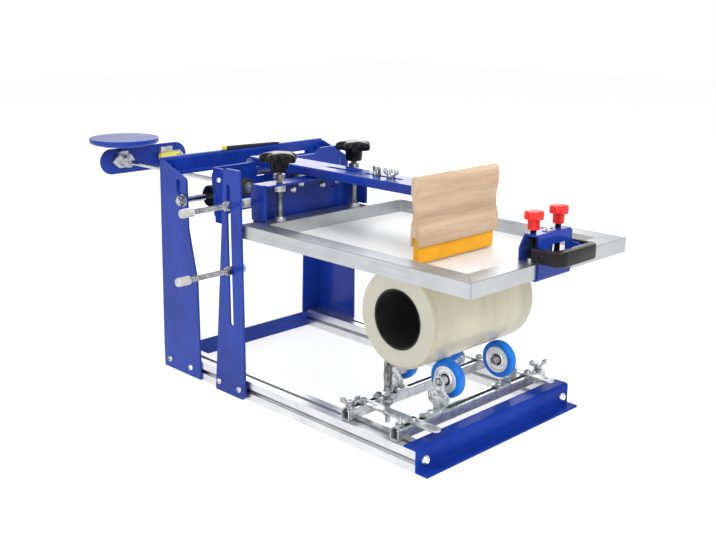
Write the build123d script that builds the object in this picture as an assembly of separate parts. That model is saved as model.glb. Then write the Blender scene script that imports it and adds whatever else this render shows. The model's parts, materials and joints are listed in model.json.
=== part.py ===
# A bench press for printing round ware: a tilting head carries a sliding screen
# over a roll that turns on four wheels. Millimetres; +X right, +Y rear, +Z up.
# The rest plane is z = 0 and the centre line of the base is x = 0.
import math
import os

from build123d import *

# base rails, plates and posts
rail_size = 30.0
rail_slot = 7.0
rail_half_span = 167.4
rail_front = 12.0
rail_rear = 557.0
sheet_t = 3.0
bend_r = 1.5
foot_flange_front = -9.0
top_flange_rear = 32.0
front_bolt_x = 152.0
rear_bar_h = 27.0
post_front_low = 466.0
post_front_high = 484.5
post_taper_low = 160.0
post_taper_high = 241.0
post_top = 340.0
post_lean = 10.0
post_lean_from = 40.0
post_shoulder = 319.0
post_flange_w = 40.0
post_bolt_y = (490.0, 546.0)

# gantry beam
beam_top = 343.5
beam_bottom = 316.0
beam_web_front = 546.8
beam_top_flange = 10.0
beam_lip = 9.0
beam_half = 167.0

# slotted post with its stop rods
stop_post_x = -174.0
stop_post_front = 349.0
stop_post_low_w = 72.0
stop_post_top_w = 37.0
stop_post_top = 348.0
stop_slot_y = 377.0
stop_slot_w = 8.5
stop_slot_low = 112.0
stop_slot_high = 326.0
stop_rod_r = 4.0
stop_upper_z = 294.0
stop_lower_z = 197.0
stop_upper_x = (-258.5, -129.0)
stop_lower_x = (-269.0, -147.0)
stop_cap_r = 6.6
stop_cap_len = 22.0

# tilting head
pivot_y = 493.0
pivot_z = 285.0
pivot_r = 5.0
pivot_half = 182.0
rod_x = (-86.0, 20.0)
rod_z = 302.0
rod_r = 4.0
rod_front = 367.0
head_plate_x = (-134.0, 131.0)
head_plate_y = 463.0
head_plate_top = 335.0
head_flange_front = 438.0
rod_rear = 798.0
block_half = (14.0, 22.0)
bridge_z = 313.0
bumper_y = (441.0, 452.0)
bumper_r = 13.0
hub_disc_x = (-124.0, 70.0)
arm_hinge_y = 480.0
arm_hinge_z = 332.0
fit = 0.06

# sliding screen
frame_half_x = 168.5
frame_front = -69.0
frame_rear = 358.0
frame_bar = 30.0
frame_low = 249.0
frame_high = 269.0
mesh_t = 0.6
clamp_x = (-137.0, 66.0)
clamp_web_y = 364.0
clamp_top = 324.0
clamp_flange = 31.0
clamp_screw_x = (-106.0, 46.0)
clamp_screw_y = 343.0
tie_y = 794.0
tie_centres = (-109.0, 25.0)
tie_r = 22.5
weight_r = 60.5
weight_t = 12.0
weight_z = 331.0
weight_at = (-84.0, 792.0)

# front clamp and pull handle
grip_x = (-41.0, 29.0)
grip_screw_x = (-33.5, 20.0)
grip_screw_y = -56.0
grip_top = 305.0
handle_x = (-49.5, 37.5)
handle_front = -110.0
handle_low = 271.0
handle_high = 290.0

# squeegee
arm_x = (-46.0, 6.0)
arm_top = 339.5
arm_h = 13.0
arm_front = 100.0
arm_rear = 490.0
arm_slot_y = (178.0, 252.0)
stud_y = (201.0, 229.0)
squeegee_y = 79.0
wood_x = (-103.0, 60.0)
blade_x = (-100.0, 55.0)
blade_t = 9.0

# roll cradle
cross_y = (54.0, 146.0)
cross_half = 162.0
cross_size = 15.0
cross_wall = 1.6
cross_z = 30.1
wheel_r = 27.0
wheel_hub_r = 19.0
wheel_w = 13.0
axle_z = 88.0
axle_r = 4.0
wheel_x = {"fl": -57.0, "fr": 55.5, "rl": -49.0, "rr": 51.0}
roll_r = 69.0
roll_bore = 42.0
roll_liner = 2.5
roll_x = (-111.0, 101.0)
roll_gap = 0.35
link_x = 126.0
link_w = 16.0
end_post_x = -97.0
end_post_y = 128.0
end_post_top = 107.0

parts = {}


def outline(points):
    """points are (a, b) or (a, b, radius) corners of a closed face"""
    count = len(points)
    ends = []
    for i in range(count):
        here = points[i]
        before = points[i - 1]
        after = points[(i + 1) % count]
        r = here[2] if len(here) > 2 else 0.0
        if r <= 0:
            ends.append((Vector(here[0], here[1]), None, Vector(here[0], here[1])))
            continue
        p = Vector(here[0], here[1])
        u = (Vector(before[0], before[1]) - p).normalized()
        v = (Vector(after[0], after[1]) - p).normalized()
        half = math.acos(max(-1.0, min(1.0, u.dot(v)))) / 2
        reach = r / math.tan(half)
        mid = (u + v).normalized()
        crown = p + mid * (r / math.sin(half) - r)
        ends.append((p + u * reach, crown, p + v * reach))
    edges = []
    for i in range(count):
        start, crown, stop = ends[i]
        if crown is not None:
            edges.append(ThreePointArc(start, crown, stop))
        follow = ends[(i + 1) % count][0]
        if (follow - stop).length > 1e-6:
            edges.append(Line(stop, follow))
    return make_face(edges)


def yz_plate(x0, x1, points, holes=()):
    face = outline(points)
    for y, z, r in holes:
        face -= Pos(y, z) * Circle(r)
    return extrude(Plane.YZ.offset(x0) * face, amount=x1 - x0)


def xz_plate(y0, y1, points, holes=()):
    face = outline(points)
    for x, z, r in holes:
        face -= Pos(x, z) * Circle(r)
    return extrude(Plane.XZ.offset(-y1) * face, amount=y1 - y0)


def xy_plate(z0, z1, points, holes=()):
    face = outline(points)
    for x, y, r in holes:
        face -= Pos(x, y) * Circle(r)
    return extrude(Plane.XY.offset(z0) * face, amount=z1 - z0)


def folded(path, t, r):
    """closed corner list of a bent sheet: path is one face, the sheet lies to its left"""
    near = []
    far = []
    count = len(path)
    for i in range(count):
        p = Vector(*path[i])
        before = (p - Vector(*path[i - 1])).normalized() if i > 0 else None
        after = (Vector(*path[i + 1]) - p).normalized() if i < count - 1 else None
        if before is None or after is None:
            d = after if before is None else before
            side = Vector(-d.Y, d.X)
            near.append((p.X, p.Y))
            far.append((p.X + side.X * t, p.Y + side.Y * t))
            continue
        n1 = Vector(-before.Y, before.X)
        n2 = Vector(-after.Y, after.X)
        mitre = (n1 + n2) / (1 + n1.dot(n2))
        left_turn = before.X * after.Y - before.Y * after.X > 0
        inner = r if left_turn else r + t
        outer = r + t if left_turn else r
        near.append((p.X, p.Y, outer))
        far.append((p.X + mitre.X * t, p.Y + mitre.Y * t, inner))
    return near + far[::-1]


def box(x0, x1, y0, y1, z0, z1):
    return Pos((x0 + x1) / 2, (y0 + y1) / 2, (z0 + z1) / 2) * Box(x1 - x0, y1 - y0, z1 - z0)


def rod_along_x(x0, x1, y, z, r):
    return Pos((x0 + x1) / 2, y, z) * Rot(0, 90, 0) * Cylinder(r, x1 - x0)


def rod_along_y(x, y0, y1, z, r):
    return Pos(x, (y0 + y1) / 2, z) * Rot(90, 0, 0) * Cylinder(r, y1 - y0)


def rod_along_z(x, y, z0, z1, r):
    return Pos(x, y, (z0 + z1) / 2) * Cylinder(r, z1 - z0)


def hex_prism(across, height):
    return extrude(RegularPolygon(across / 2, 6, major_radius=False), amount=height)


def dome_bolt(radius, head_h):
    """button head sitting on z = 0"""
    face = outline([(0, 0), (radius, 0), (radius, head_h * 0.4), (radius * 0.6, head_h), (0, head_h)])
    return revolve(Plane.XZ * face, Axis.Z)


def slot_cut_z(x, y0, y1, z0, z1, w):
    """upright cutter for a slot that runs along Y"""
    mid = (y0 + y1) / 2
    return Pos(x, mid, z0) * extrude(Rot(0, 0, 90) * SlotOverall(y1 - y0, w), amount=z1 - z0)


# T-slot rail section: one mouth and widened chamber per side, with a centre bore
def rail_section(size, mouth):
    h = size / 2
    m = mouth / 2
    side = [(-h, h), (-m, h), (-m, h - 2), (-5.8, h - 2), (-5.8, h - 3.8), (-3, h - 6.5),
            (3, h - 6.5), (5.8, h - 3.8), (5.8, h - 2), (m, h - 2), (m, h)]
    points = []
    for turn in range(4):
        a = -math.pi / 2 * turn
        for x, y in side:
            points.append((x * math.cos(a) - y * math.sin(a), x * math.sin(a) + y * math.cos(a)))
    return outline(points) - Circle(3.4)


rail_mid = rail_half_span - rail_size / 2
for name, sign in (("rail_left", -1), ("rail_right", 1)):
    section = Plane.XZ.offset(-rail_rear) * Pos(sign * rail_mid, rail_size / 2) * rail_section(rail_size, rail_slot)
    parts[name] = extrude(section, amount=rail_rear - rail_front)

# Z-section front plate: foot flange forward, web, top flange back over the rails
z_points = [(foot_flange_front, 0), (rail_front, 0, bend_r), (rail_front, rail_size),
            (top_flange_rear, rail_size), (top_flange_rear, rail_size + sheet_t),
            (rail_front - sheet_t, rail_size + sheet_t, bend_r + sheet_t),
            (rail_front - sheet_t, sheet_t, bend_r), (foot_flange_front, sheet_t)]
front = yz_plate(-rail_half_span, rail_half_span, z_points)
for sign in (-1, 1):
    front -= rod_along_y(sign * front_bolt_x, 8, 13, 15, 3.2)
parts["front_plate"] = front

# flat bar across the rail ends
bar = box(-rail_half_span, rail_half_span, rail_rear, rail_rear + sheet_t, 0, rear_bar_h)
for sign in (-1, 1):
    bar -= rod_along_y(sign * rail_mid, rail_rear - 1, rail_rear + 4, 15, 3.2)
parts["rear_bar"] = bar

# rear posts: upright plate outside each rail, rear flange folded inward, hook slot for the pivot
post_rear = rail_rear + 2 * sheet_t
post_rear_high = post_rear - post_lean
hook = [(pivot_y, pivot_z), (pivot_y + 13, pivot_z + 12), (pivot_y + 13, pivot_z + 27)]
for name, sign in (("rear_post_left", -1), ("rear_post_right", 1)):
    side = outline([(post_front_low, 0), (post_front_low, post_taper_low, 8),
                    (post_front_high, post_taper_high, 8), (post_front_high, post_shoulder, 6),
                    (post_rear_high - 8, post_top, 3), (post_rear_high, post_top),
                    (post_rear, post_lean_from), (post_rear, 0)])
    for (ya, za), (yb, zb) in zip(hook[:-1], hook[1:]):
        run = math.hypot(yb - ya, zb - za)
        tilt = math.degrees(math.atan2(zb - za, yb - ya))
        cut = SlotOverall(run + 2 * pivot_r + 0.2, 2 * pivot_r + 0.2)
        side -= Pos((ya + yb) / 2, (za + zb) / 2) * Rot(0, 0, tilt) * cut
    for y in post_bolt_y:
        side -= Pos(y, rail_size / 2) * Circle(3.3)
    x0 = -rail_half_span - sheet_t if sign < 0 else rail_half_span
    plate = extrude(Plane.YZ.offset(x0) * side, amount=sheet_t)
    xa = -rail_half_span if sign < 0 else rail_half_span - post_flange_w + sheet_t
    inside = rail_rear + sheet_t
    flange = yz_plate(xa, xa + post_flange_w - sheet_t,
                      [(inside, 0), (post_rear, 0), (post_rear, post_lean_from), (post_rear_high, post_top),
                       (post_rear_high - sheet_t, post_top), (inside, post_lean_from)])
    flange -= rod_along_y(sign * 150.0, beam_web_front, post_rear + 1, 328, 2.7)
    flange -= rod_along_y(sign * rail_mid, rail_rear, post_rear + 1, rail_size / 2, 3.2)
    parts[name] = plate + flange

# gantry beam: web with a top flange to the rear and a small lip to the front
web_front = beam_web_front
beam_points = [(web_front, beam_bottom + sheet_t, bend_r), (web_front - beam_lip, beam_bottom + sheet_t),
               (web_front - beam_lip, beam_bottom), (web_front + sheet_t, beam_bottom, bend_r + sheet_t),
               (web_front + sheet_t, beam_top - sheet_t, bend_r),
               (web_front + beam_top_flange, beam_top - sheet_t), (web_front + beam_top_flange, beam_top),
               (web_front, beam_top, bend_r + sheet_t)]
beam = yz_plate(-beam_half, beam_half, beam_points)
for x in (-150.0, 150.0):
    beam -= rod_along_y(x, web_front - 1, web_front + 5, 328, 2.7)
beam -= Pos(112, web_front + 1, 324) * Rot(90, 0, 0) * extrude(SlotOverall(44, 4.5), amount=6, both=True)
parts["gantry_beam"] = beam

# slotted side post, spaced off the left rail
low_rear = stop_post_front + stop_post_low_w
top_rear = stop_post_front + stop_post_top_w
near = outline([(stop_post_front, 0, 9), (stop_post_front, stop_post_top, 3),
                (top_rear, stop_post_top, 7), (low_rear, 4, 3), (low_rear, 0, 2)])
slot_len = stop_slot_high - stop_slot_low
near -= Pos(stop_slot_y, (stop_slot_high + stop_slot_low) / 2) * Rot(0, 0, 90) * SlotOverall(slot_len, stop_slot_w)
for y in (362.0, 411.0):
    near -= Pos(y, 15) * Circle(3.3)
parts["stop_post"] = extrude(Plane.YZ.offset(stop_post_x) * near, amount=sheet_t)


def bolt_at_x(x, y, z, toward, reach, r=5.0, h=4.0):
    """button bolt with its shank, axis along X, head on the given side"""
    head = dome_bolt(r, h) + rod_along_z(0, 0, -reach, 0, 3.0)
    turn = Rot(0, 90, 0) if toward > 0 else Rot(0, -90, 0)
    return Pos(x, y, z) * turn * head


def bolt_at_y(x, y, z, toward, reach, r=5.0, h=4.0, shank=3.0):
    head = dome_bolt(r, h) + rod_along_z(0, 0, -reach, 0, shank)
    turn = Rot(-90, 0, 0) if toward > 0 else Rot(90, 0, 0)
    return Pos(x, y, z) * turn * head


bolts = []
for sign in (-1, 1):
    bolts.append(bolt_at_y(sign * front_bolt_x, rail_front - sheet_t, 15, -1, 14, r=5.6, h=4.2))
    bolts.append(bolt_at_y(sign * rail_mid, rail_rear + sheet_t + 3, 15, 1, 16, r=5.0))
    bolts.append(bolt_at_y(sign * 150.0, post_rear_high + 0.6, 328, 1, 9, r=4.2, h=3.2, shank=2.6))
    outer = sign * (rail_half_span + sheet_t)
    for y in post_bolt_y:
        bolts.append(bolt_at_x(outer, y, rail_size / 2, sign, 7))
for y in (362.0, 411.0):
    bolts.append(bolt_at_x(stop_post_x, y, 15, -1, 10))
    spacer = rod_along_x(stop_post_x + sheet_t, -rail_half_span, y, 15, 6) - rod_along_x(-175, -165, y, 15, 3.0)
    bolts.append(spacer)
parts["base_bolts"] = Compound(bolts)

# stop rods: stud through the slot, a nut either side of the plate, soft caps on both ends
for name, z, (x0, x1) in (("stop_upper", stop_upper_z, stop_upper_x), ("stop_lower", stop_lower_z, stop_lower_x)):
    stud = rod_along_x(x0 + 2, x1 - 2, stop_slot_y, z, stop_rod_r)
    nuts = []
    for xa in (stop_post_x - 0.1 - 6.5, stop_post_x + sheet_t + 0.1):
        shell = Pos(xa, stop_slot_y, z) * Rot(0, 90, 0) * hex_prism(12.8, 6.5)
        nuts.append(shell - rod_along_x(xa - 1, xa + 8, stop_slot_y, z, stop_rod_r))
    caps = []
    for xa, xb, tip in ((x0, x0 + stop_cap_len, x0), (x1 - stop_cap_len * 0.9, x1, x1)):
        cap = rod_along_x(xa, xb, stop_slot_y, z, stop_cap_r)
        cap = chamfer(cap.edges().filter_by(GeomType.CIRCLE).sort_by(lambda e: abs(e.center().X - tip))[:1], 2)
        caps.append(cap - rod_along_x(x0 + 2, x1 - 2, stop_slot_y, z, stop_rod_r))
    parts[name] = Compound([stud] + nuts + caps)

# pivot shaft with collars outside the posts
shaft = rod_along_x(-pivot_half, pivot_half, pivot_y, pivot_z, pivot_r)
for sign in (-1, 1):
    a = sign * (rail_half_span + sheet_t + 0.4)
    b = sign * (rail_half_span + sheet_t + 8)
    shaft += rod_along_x(min(a, b), max(a, b), pivot_y, pivot_z, 10.5)
shaft = chamfer(shaft.edges().filter_by(GeomType.CIRCLE).group_by(Axis.X)[0], 1)
parts["pivot_shaft"] = shaft

# bearing blocks: each holds one guide rod above the pivot shaft
block_front = head_plate_y + sheet_t
blocks = []
for x in rod_x:
    body = yz_plate(x - block_half[0], x + block_half[0],
                    [(block_front, 275, 2), (pivot_y + 22, 275, 4), (pivot_y + 22, bridge_z, 2),
                     (block_front, bridge_z)])
    body -= rod_along_x(x - 20, x + 20, pivot_y, pivot_z, pivot_r)
    body -= rod_along_y(x, block_front - 1, pivot_y + 30, rod_z, rod_r + fit)
    blocks.append(body)
parts["bearing_blocks"] = Compound(blocks)

hubs = []
for x0 in hub_disc_x:
    disc = rod_along_x(x0, x0 + 10, pivot_y, pivot_z, 17)
    disc = chamfer(disc.edges().filter_by(GeomType.CIRCLE), 1.6)
    hubs.append(disc - rod_along_x(x0 - 1, x0 + 11, pivot_y, pivot_z, pivot_r))
parts["hub_discs"] = Compound(hubs)

# bridge over the blocks with two ears that carry the squeegee arm
ear = [(arm_hinge_y - 14, bridge_z + 2.5), (arm_hinge_y - 9, arm_hinge_z + 9, 8),
       (arm_hinge_y + 9, arm_hinge_z + 9, 8), (arm_hinge_y + 14, bridge_z + 2.5)]
bridge = box(rod_x[0] - 14, rod_x[1] + 14, block_front, pivot_y + 22, bridge_z, bridge_z + sheet_t)
for x0 in (arm_x[0] - 0.4 - sheet_t, arm_x[1] + 0.4):
    bridge += yz_plate(x0, x0 + sheet_t, ear, [(arm_hinge_y, arm_hinge_z, 4.0)])
parts["head_bridge"] = bridge

# guide rods
rods = []
for x in rod_x:
    rod = rod_along_y(x, rod_front, rod_rear, rod_z, rod_r)
    rods.append(chamfer(rod.edges().filter_by(GeomType.CIRCLE).sort_by(Axis.Y)[-1:], 0.8))
parts["guide_rods"] = Compound(rods)

# C-section screen clamp: bar of the screen sits in its mouth under two screws
channel_path = [(clamp_web_y - clamp_flange + 2, frame_low - mesh_t),
                (clamp_web_y, frame_low - mesh_t),
                (clamp_web_y, clamp_top - sheet_t),
                (clamp_web_y - clamp_flange, clamp_top - sheet_t)]
channel_points = folded(channel_path[::-1], sheet_t, bend_r)
channel = yz_plate(clamp_x[0], clamp_x[1], channel_points)
for x in clamp_screw_x:
    channel -= rod_along_z(x, clamp_screw_y, clamp_top - 5, clamp_top + 5, 5.0 + fit)
web_bolts = ((-62.0, 306.0), (-46.0, 313.0), (-2.0, 306.0), (29.0, 309.0))
for x, z in web_bolts:
    channel -= rod_along_y(x, clamp_web_y - 2, clamp_web_y + 6, z, 3.0)
for x in rod_x:
    channel -= rod_along_y(x, clamp_web_y - 2, clamp_web_y + 6, rod_z, 3.0)
rear_face = clamp_web_y + sheet_t
lip_y = clamp_web_y - clamp_flange + 3
end_plate = [(rear_face, frame_high + 1.5), (rear_face, clamp_top, bend_r + sheet_t), (lip_y, clamp_top, 7),
             (lip_y, frame_high + 1.5, 3)]
for x0 in (clamp_x[0] - sheet_t, clamp_x[1]):
    channel += yz_plate(x0, x0 + sheet_t, end_plate)
parts["clamp_channel"] = channel

# head plate across both rods: notched for the arm, its left end folded forward
px0, px1 = head_plate_x
plate = xz_plate(head_plate_y, head_plate_y + sheet_t,
                 [(px0, 250, 10), (px0 + 34, 262, 6), (px1, 262, 6), (px1, head_plate_top + 9, 10),
                  (px1 - 44, head_plate_top + 9, 6), (px1 - 58, head_plate_top, 6), (arm_x[1] + 4.5, head_plate_top, 2),
                  (arm_x[1] + 4.5, bridge_z - 1, 1), (arm_x[0] - 4.5, bridge_z - 1, 1), (arm_x[0] - 4.5, head_plate_top, 2),
                  (px0, head_plate_top)],
                 [(rod_x[0], rod_z, rod_r + 0.3), (rod_x[1], rod_z, rod_r + 0.3)])
plate += yz_plate(px0, px0 + sheet_t, [(head_plate_y, 250), (head_plate_y, head_plate_top),
                                       (head_flange_front, head_plate_top, 6), (head_flange_front, 250, 8)])
parts["carriage_sides"] = plate

# screen frame and the mesh glued under it
frame = box(-frame_half_x, frame_half_x, frame_front, frame_rear, frame_low, frame_high)
frame -= box(-frame_half_x + frame_bar, frame_half_x - frame_bar, frame_front + frame_bar,
             frame_rear - frame_bar, frame_low - 1, frame_high + 1)
frame = fillet(frame.edges().filter_by(Axis.Z), 2)
frame = chamfer(frame.edges().group_by(Axis.Z)[-1], 0.8)
parts["screen_frame"] = frame
parts["screen_mesh"] = box(-frame_half_x + 3, frame_half_x - 3, frame_front + 3, frame_rear - 3,
                           frame_low - mesh_t, frame_low)

# rear tie plate, rod supports and the round counterweight
tie = outline([(tie_centres[0] - tie_r, rod_z - tie_r, tie_r - 0.01), (tie_centres[1] + tie_r, rod_z - tie_r, tie_r - 0.01),
               (tie_centres[1] + tie_r, rod_z + tie_r, tie_r - 0.01), (tie_centres[0] - tie_r, rod_z + tie_r, tie_r - 0.01)])
for x in rod_x:
    tie -= Pos(x, rod_z) * Circle(rod_r)
tie_bar = extrude(Plane.XZ.offset(-(tie_y + 4)) * tie, amount=4)
parts["tie_plate"] = tie_bar + rod_along_z(weight_at[0], weight_at[1], rod_z + 18.5, weight_z, 9)

hardware = []
for x, (xa, xb, low, high), lug in ((rod_x[0], (-26, 19, -11.5, 12), (-98, -80)), (rod_x[1], (-18, 18, -9, 9), (-11, 14))):
    foot = xz_plate(tie_y - 7, tie_y, [(x + xa, rod_z, 3), (x + xa * 0.5, rod_z + low, 4), (x + xb * 0.6, rod_z + low, 4),
                                       (x + xb, rod_z, 3), (x + xb * 0.6, rod_z + high, 4), (x + xa * 0.5, rod_z + high, 4)])
    foot += box(lug[0], lug[1], tie_y - 7, tie_y, rod_z + 4, rod_z + 17.5)
    boss = rod_along_y(x, tie_y - 19, tie_y - 6, rod_z, 10.5) if x == rod_x[0] else rod_along_y(x, tie_y - 8, tie_y - 6, rod_z, 8)
    hardware.append(foot + boss - rod_along_y(x, tie_y - 30, tie_y + 1, rod_z, rod_r))
    hardware.append(bolt_at_y(x + xb * 0.72, tie_y - 7, rod_z, -1, 7, r=2.6, h=2.4, shank=1.5))
    seat_y = clamp_web_y + sheet_t
    seat = rod_along_y(x, seat_y, seat_y + 9, rod_z, 9)
    hardware.append(seat - rod_along_y(x, seat_y - 1, seat_y + 10, rod_z, rod_r))
    ring = rod_along_y(x, bumper_y[0] - 8, bumper_y[0] - 0.1, rod_z, 8.5)
    hardware.append(ring - rod_along_y(x, bumper_y[0] - 9, bumper_y[0], rod_z, rod_r))
for x, z in web_bolts:
    hardware.append(bolt_at_y(x, clamp_web_y, z, -1, 6, r=5.4, h=3.8, shank=2.9))
for x in clamp_screw_x:
    nut = Pos(x, clamp_screw_y, clamp_top - sheet_t - 9) * hex_prism(16, 9)
    hardware.append(nut - rod_along_z(x, clamp_screw_y, 300, 330, 5.0 + fit))
stem = rod_along_z(weight_at[0], weight_at[1], weight_z, weight_z + weight_t + 0.6, 5)
hardware.append(stem - Pos(weight_at[0], weight_at[1], weight_z + weight_t - 2) * hex_prism(5, 4))
parts["rod_supports"] = Compound(hardware)

# soft washers on the rods, in front of the head plate
bumpers = []
for x in rod_x:
    disc = rod_along_y(x, bumper_y[0], bumper_y[1], rod_z, bumper_r)
    disc = chamfer(disc.edges().filter_by(GeomType.CIRCLE), 1.2)
    bumpers.append(disc - rod_along_y(x, bumper_y[0] - 1, bumper_y[1] + 1, rod_z, rod_r))
parts["rod_bumpers"] = Compound(bumpers)

weight = revolve(Plane.XZ * outline([(5, 0), (weight_r - 1, 0), (weight_r, 1), (weight_r, weight_t - 1),
                                     (weight_r - 1, weight_t), (5, weight_t)]), Axis.Z)
parts["counterweight"] = Pos(weight_at[0], weight_at[1], weight_z) * weight

sleeve = xz_plate(tie_y - 16, tie_y - 8, [(-18, 297.5, 5.5), (27, 297.5, 5.5), (27, 309, 5.5), (-18, 309, 5.5)])
parts["rod_guard"] = sleeve - rod_along_y(rod_x[1], 760, 790, rod_z, rod_r)

# folded grip bracket round the front bar, with two lugs for the handle
bar_front = frame_front
grip_points = [(bar_front + 18, frame_low - mesh_t), (bar_front, frame_low - mesh_t),
               (bar_front, grip_top - sheet_t, bend_r), (-50.5, grip_top - sheet_t, bend_r),
               (-43.5, 286, 4), (-43.5, frame_high),
               (-40.5, frame_high), (-40.5, 285.2, 6), (-48.4, grip_top, 4),
               (bar_front - sheet_t, grip_top, bend_r + sheet_t),
               (bar_front - sheet_t, frame_low - mesh_t - sheet_t, bend_r + sheet_t),
               (bar_front + 18, frame_low - mesh_t - sheet_t)]
grip = yz_plate(grip_x[0], grip_x[1], grip_points)
grip -= xz_plate(bar_front - 5, bar_front + 1, [(-20, 272, 2), (18, 272, 2), (18, 290, 4), (-20, 290, 4)])
for x in grip_screw_x:
    grip -= rod_along_z(x, grip_screw_y, grip_top - 5, grip_top + 5, 4.0 + fit)
for x0 in (grip_x[0], grip_x[1] - 5):
    lug = yz_plate(x0, x0 + 5, [(bar_front - sheet_t, 273), (bar_front - sheet_t, 288), (-88, 288, 7), (-88, 273, 7)])
    grip += lug
parts["grip_bracket"] = grip

# pull handle: two legs and a bar, chamfered plan corners
handle_plan = [(handle_x[0], -64, 3), (handle_x[0], handle_front + 8, 2), (handle_x[0] + 8, handle_front, 2),
               (handle_x[1] - 8, handle_front, 2), (handle_x[1], handle_front + 8, 2), (handle_x[1], -64, 3),
               (handle_x[1] - 8, -64, 3), (handle_x[1] - 8, handle_front + 16, 4),
               (handle_x[0] + 8, handle_front + 16, 4), (handle_x[0] + 8, -64, 3)]
pull = xy_plate(handle_low, handle_high, handle_plan)
rim = pull.edges().group_by(Axis.Z)
pull = chamfer(rim[0] + rim[-1], 1.8)
for x0, x1 in ((handle_x[0] - 1, handle_x[0] + 2.6), (handle_x[1] - 2.6, handle_x[1] + 1)):
    pull -= rod_along_x(x0, x1, -81, 280.5, 4.6)
pull -= rod_along_x(handle_x[0] - 1, handle_x[0] + 9, -81, 280.5, 2.5)
pull -= rod_along_x(handle_x[1] - 9, handle_x[1] + 1, -81, 280.5, 2.5)
parts["pull_handle"] = pull
handle_screws = []
for sign, x in ((-1, handle_x[0] + 2.6), (1, handle_x[1] - 2.6)):
    head = dome_bolt(4.2, 2.4) + rod_along_z(0, 0, -5.3, 0, 2.45)
    turn = Rot(0, 90, 0) if sign > 0 else Rot(0, -90, 0)
    handle_screws.append(Pos(x, -81, 280.5) * turn * head)
parts["handle_screws"] = Compound(handle_screws)


def lobed_knob(lobes, r_out, r_in, head_h, hub_r, hub_h, crown):
    """star head with rounded lobes over a tapered hub; the hub foot is at z = 0"""
    count = lobes * 4
    ring = []
    mean = (r_out + r_in) / 2
    swing = (r_out - r_in) / 2
    for i in range(count):
        a = 2 * math.pi * i / count
        r = mean + swing * math.cos(lobes * a)
        ring.append((r * math.cos(a), r * math.sin(a)))
    plan = make_face(Spline(*ring, periodic=True))
    head = extrude(Plane.XY.offset(hub_h) * plan, amount=head_h)
    dome = revolve(Plane.XZ * outline([(0, hub_h - 1), (r_out + 2, hub_h - 1), (r_out + 2, hub_h + head_h - crown),
                                       (r_out * 0.55, hub_h + head_h - 0.6), (0, hub_h + head_h)]), Axis.Z)
    head = head & dome
    hub = revolve(Plane.XZ * outline([(0, 0), (hub_r, 0), (hub_r * 1.12, hub_h + 1), (0, hub_h + 1)]), Axis.Z)
    return head + hub


# clamp screws: star knob with a stud, lock nut, and a swivel foot
knob_base = 341.0
foot_top = frame_high + 6.0
for tag, x in zip(("l", "r"), clamp_screw_x):
    knob = Pos(x, clamp_screw_y, knob_base) * Rot(0, 0, 63) * lobed_knob(5, 29, 21.5, 14, 12, 13, 5)
    stud = rod_along_z(x, clamp_screw_y, frame_high + 3.6, knob_base + 2, 5)
    nut = Pos(x, clamp_screw_y, clamp_top + 6) * hex_prism(16.5, 7) - rod_along_z(x, clamp_screw_y, 320, 345, 5)
    parts["star_knob_" + tag] = knob + stud + nut
    foot = revolve(Plane.XZ * outline([(0, 0.1), (9.5, 0.1), (9.5, 2.4), (7.2, 5.6), (5.1, 5.6), (5.1, 3.4), (0, 3.4)]),
                   Axis.Z)
    parts["clamp_foot_" + tag] = Pos(x, clamp_screw_y, frame_high) * foot

# grip screws: small knobs with a stud and a pad
for tag, x in zip(("l", "r"), grip_screw_x):
    knob = Pos(x, grip_screw_y, 309.5) * lobed_knob(6, 12.8, 11.2, 11, 7.4, 13, 2)
    parts["grip_knob_" + tag] = knob + rod_along_z(x, grip_screw_y, frame_high + 2.6, 311, 4)
    pad = revolve(Plane.XZ * outline([(0, 0.1), (6, 0.1), (6, 4.2), (4.1, 4.2), (4.1, 2.4), (0, 2.4)]), Axis.Z)
    parts["grip_pad_" + tag] = Pos(x, grip_screw_y, frame_high) * pad

# squeegee arm: channel open below with two slots, turning on a pin at the rear
arm = box(arm_x[0], arm_x[1], arm_front, arm_rear, arm_top - arm_h, arm_top)
arm = fillet(arm.edges().filter_by(Axis.Y).group_by(Axis.Z)[-1], 2.5)
arm -= box(arm_x[0] + 2.5, arm_x[1] - 2.5, arm_front - 1, arm_rear - 2.5, arm_top - arm_h - 1, arm_top - 2.5)
arm_mid = (arm_x[0] + arm_x[1]) / 2
arm -= slot_cut_z(arm_mid, arm_slot_y[0], arm_slot_y[1], arm_top - 5, arm_top + 5, 8)
arm -= slot_cut_z(arm_mid, 268, 334, arm_top - 5, arm_top + 5, 9)
arm -= rod_along_x(arm_x[0] - 1, arm_x[0] + 4, arm_hinge_y, arm_hinge_z, 4.0)
arm -= rod_along_x(arm_x[1] - 4, arm_x[1] + 1, arm_hinge_y, arm_hinge_z, 4.0)
parts["squeegee_arm"] = arm
pin = rod_along_x(arm_x[0] - 3.7, arm_x[1] + 3.7, arm_hinge_y, arm_hinge_z, 4.0 - fit)
for sign, x in ((-1, arm_x[0] - 3.6), (1, arm_x[1] + 3.6)):
    pin += rod_along_x(min(x, x + sign * 3), max(x, x + sign * 3), arm_hinge_y, arm_hinge_z, 6.5)
parts["arm_pin"] = pin

# squeegee carrier: strip inside the arm, two studs, front plate against the handle board
strip_z = arm_top - 2.5 - 0.3
carrier = box(arm_mid - 20, arm_mid + 20, 87, 243, strip_z - 3, strip_z)
carrier += box(arm_mid - 20, arm_mid + 20, 86.2, 89.2, 296, strip_z)
for y in stud_y:
    carrier += rod_along_z(arm_mid, y, strip_z - 1, arm_top + 13, 3)
screws = []
for x in (arm_mid - 12, arm_mid + 12):
    carrier -= rod_along_y(x, 86, 90, 318, 1.5)
    screws.append(bolt_at_y(x, 89.2, 318, 1, 3, r=4, h=3, shank=1.5))
parts["squeegee_carrier"] = Compound([carrier] + screws)

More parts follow.
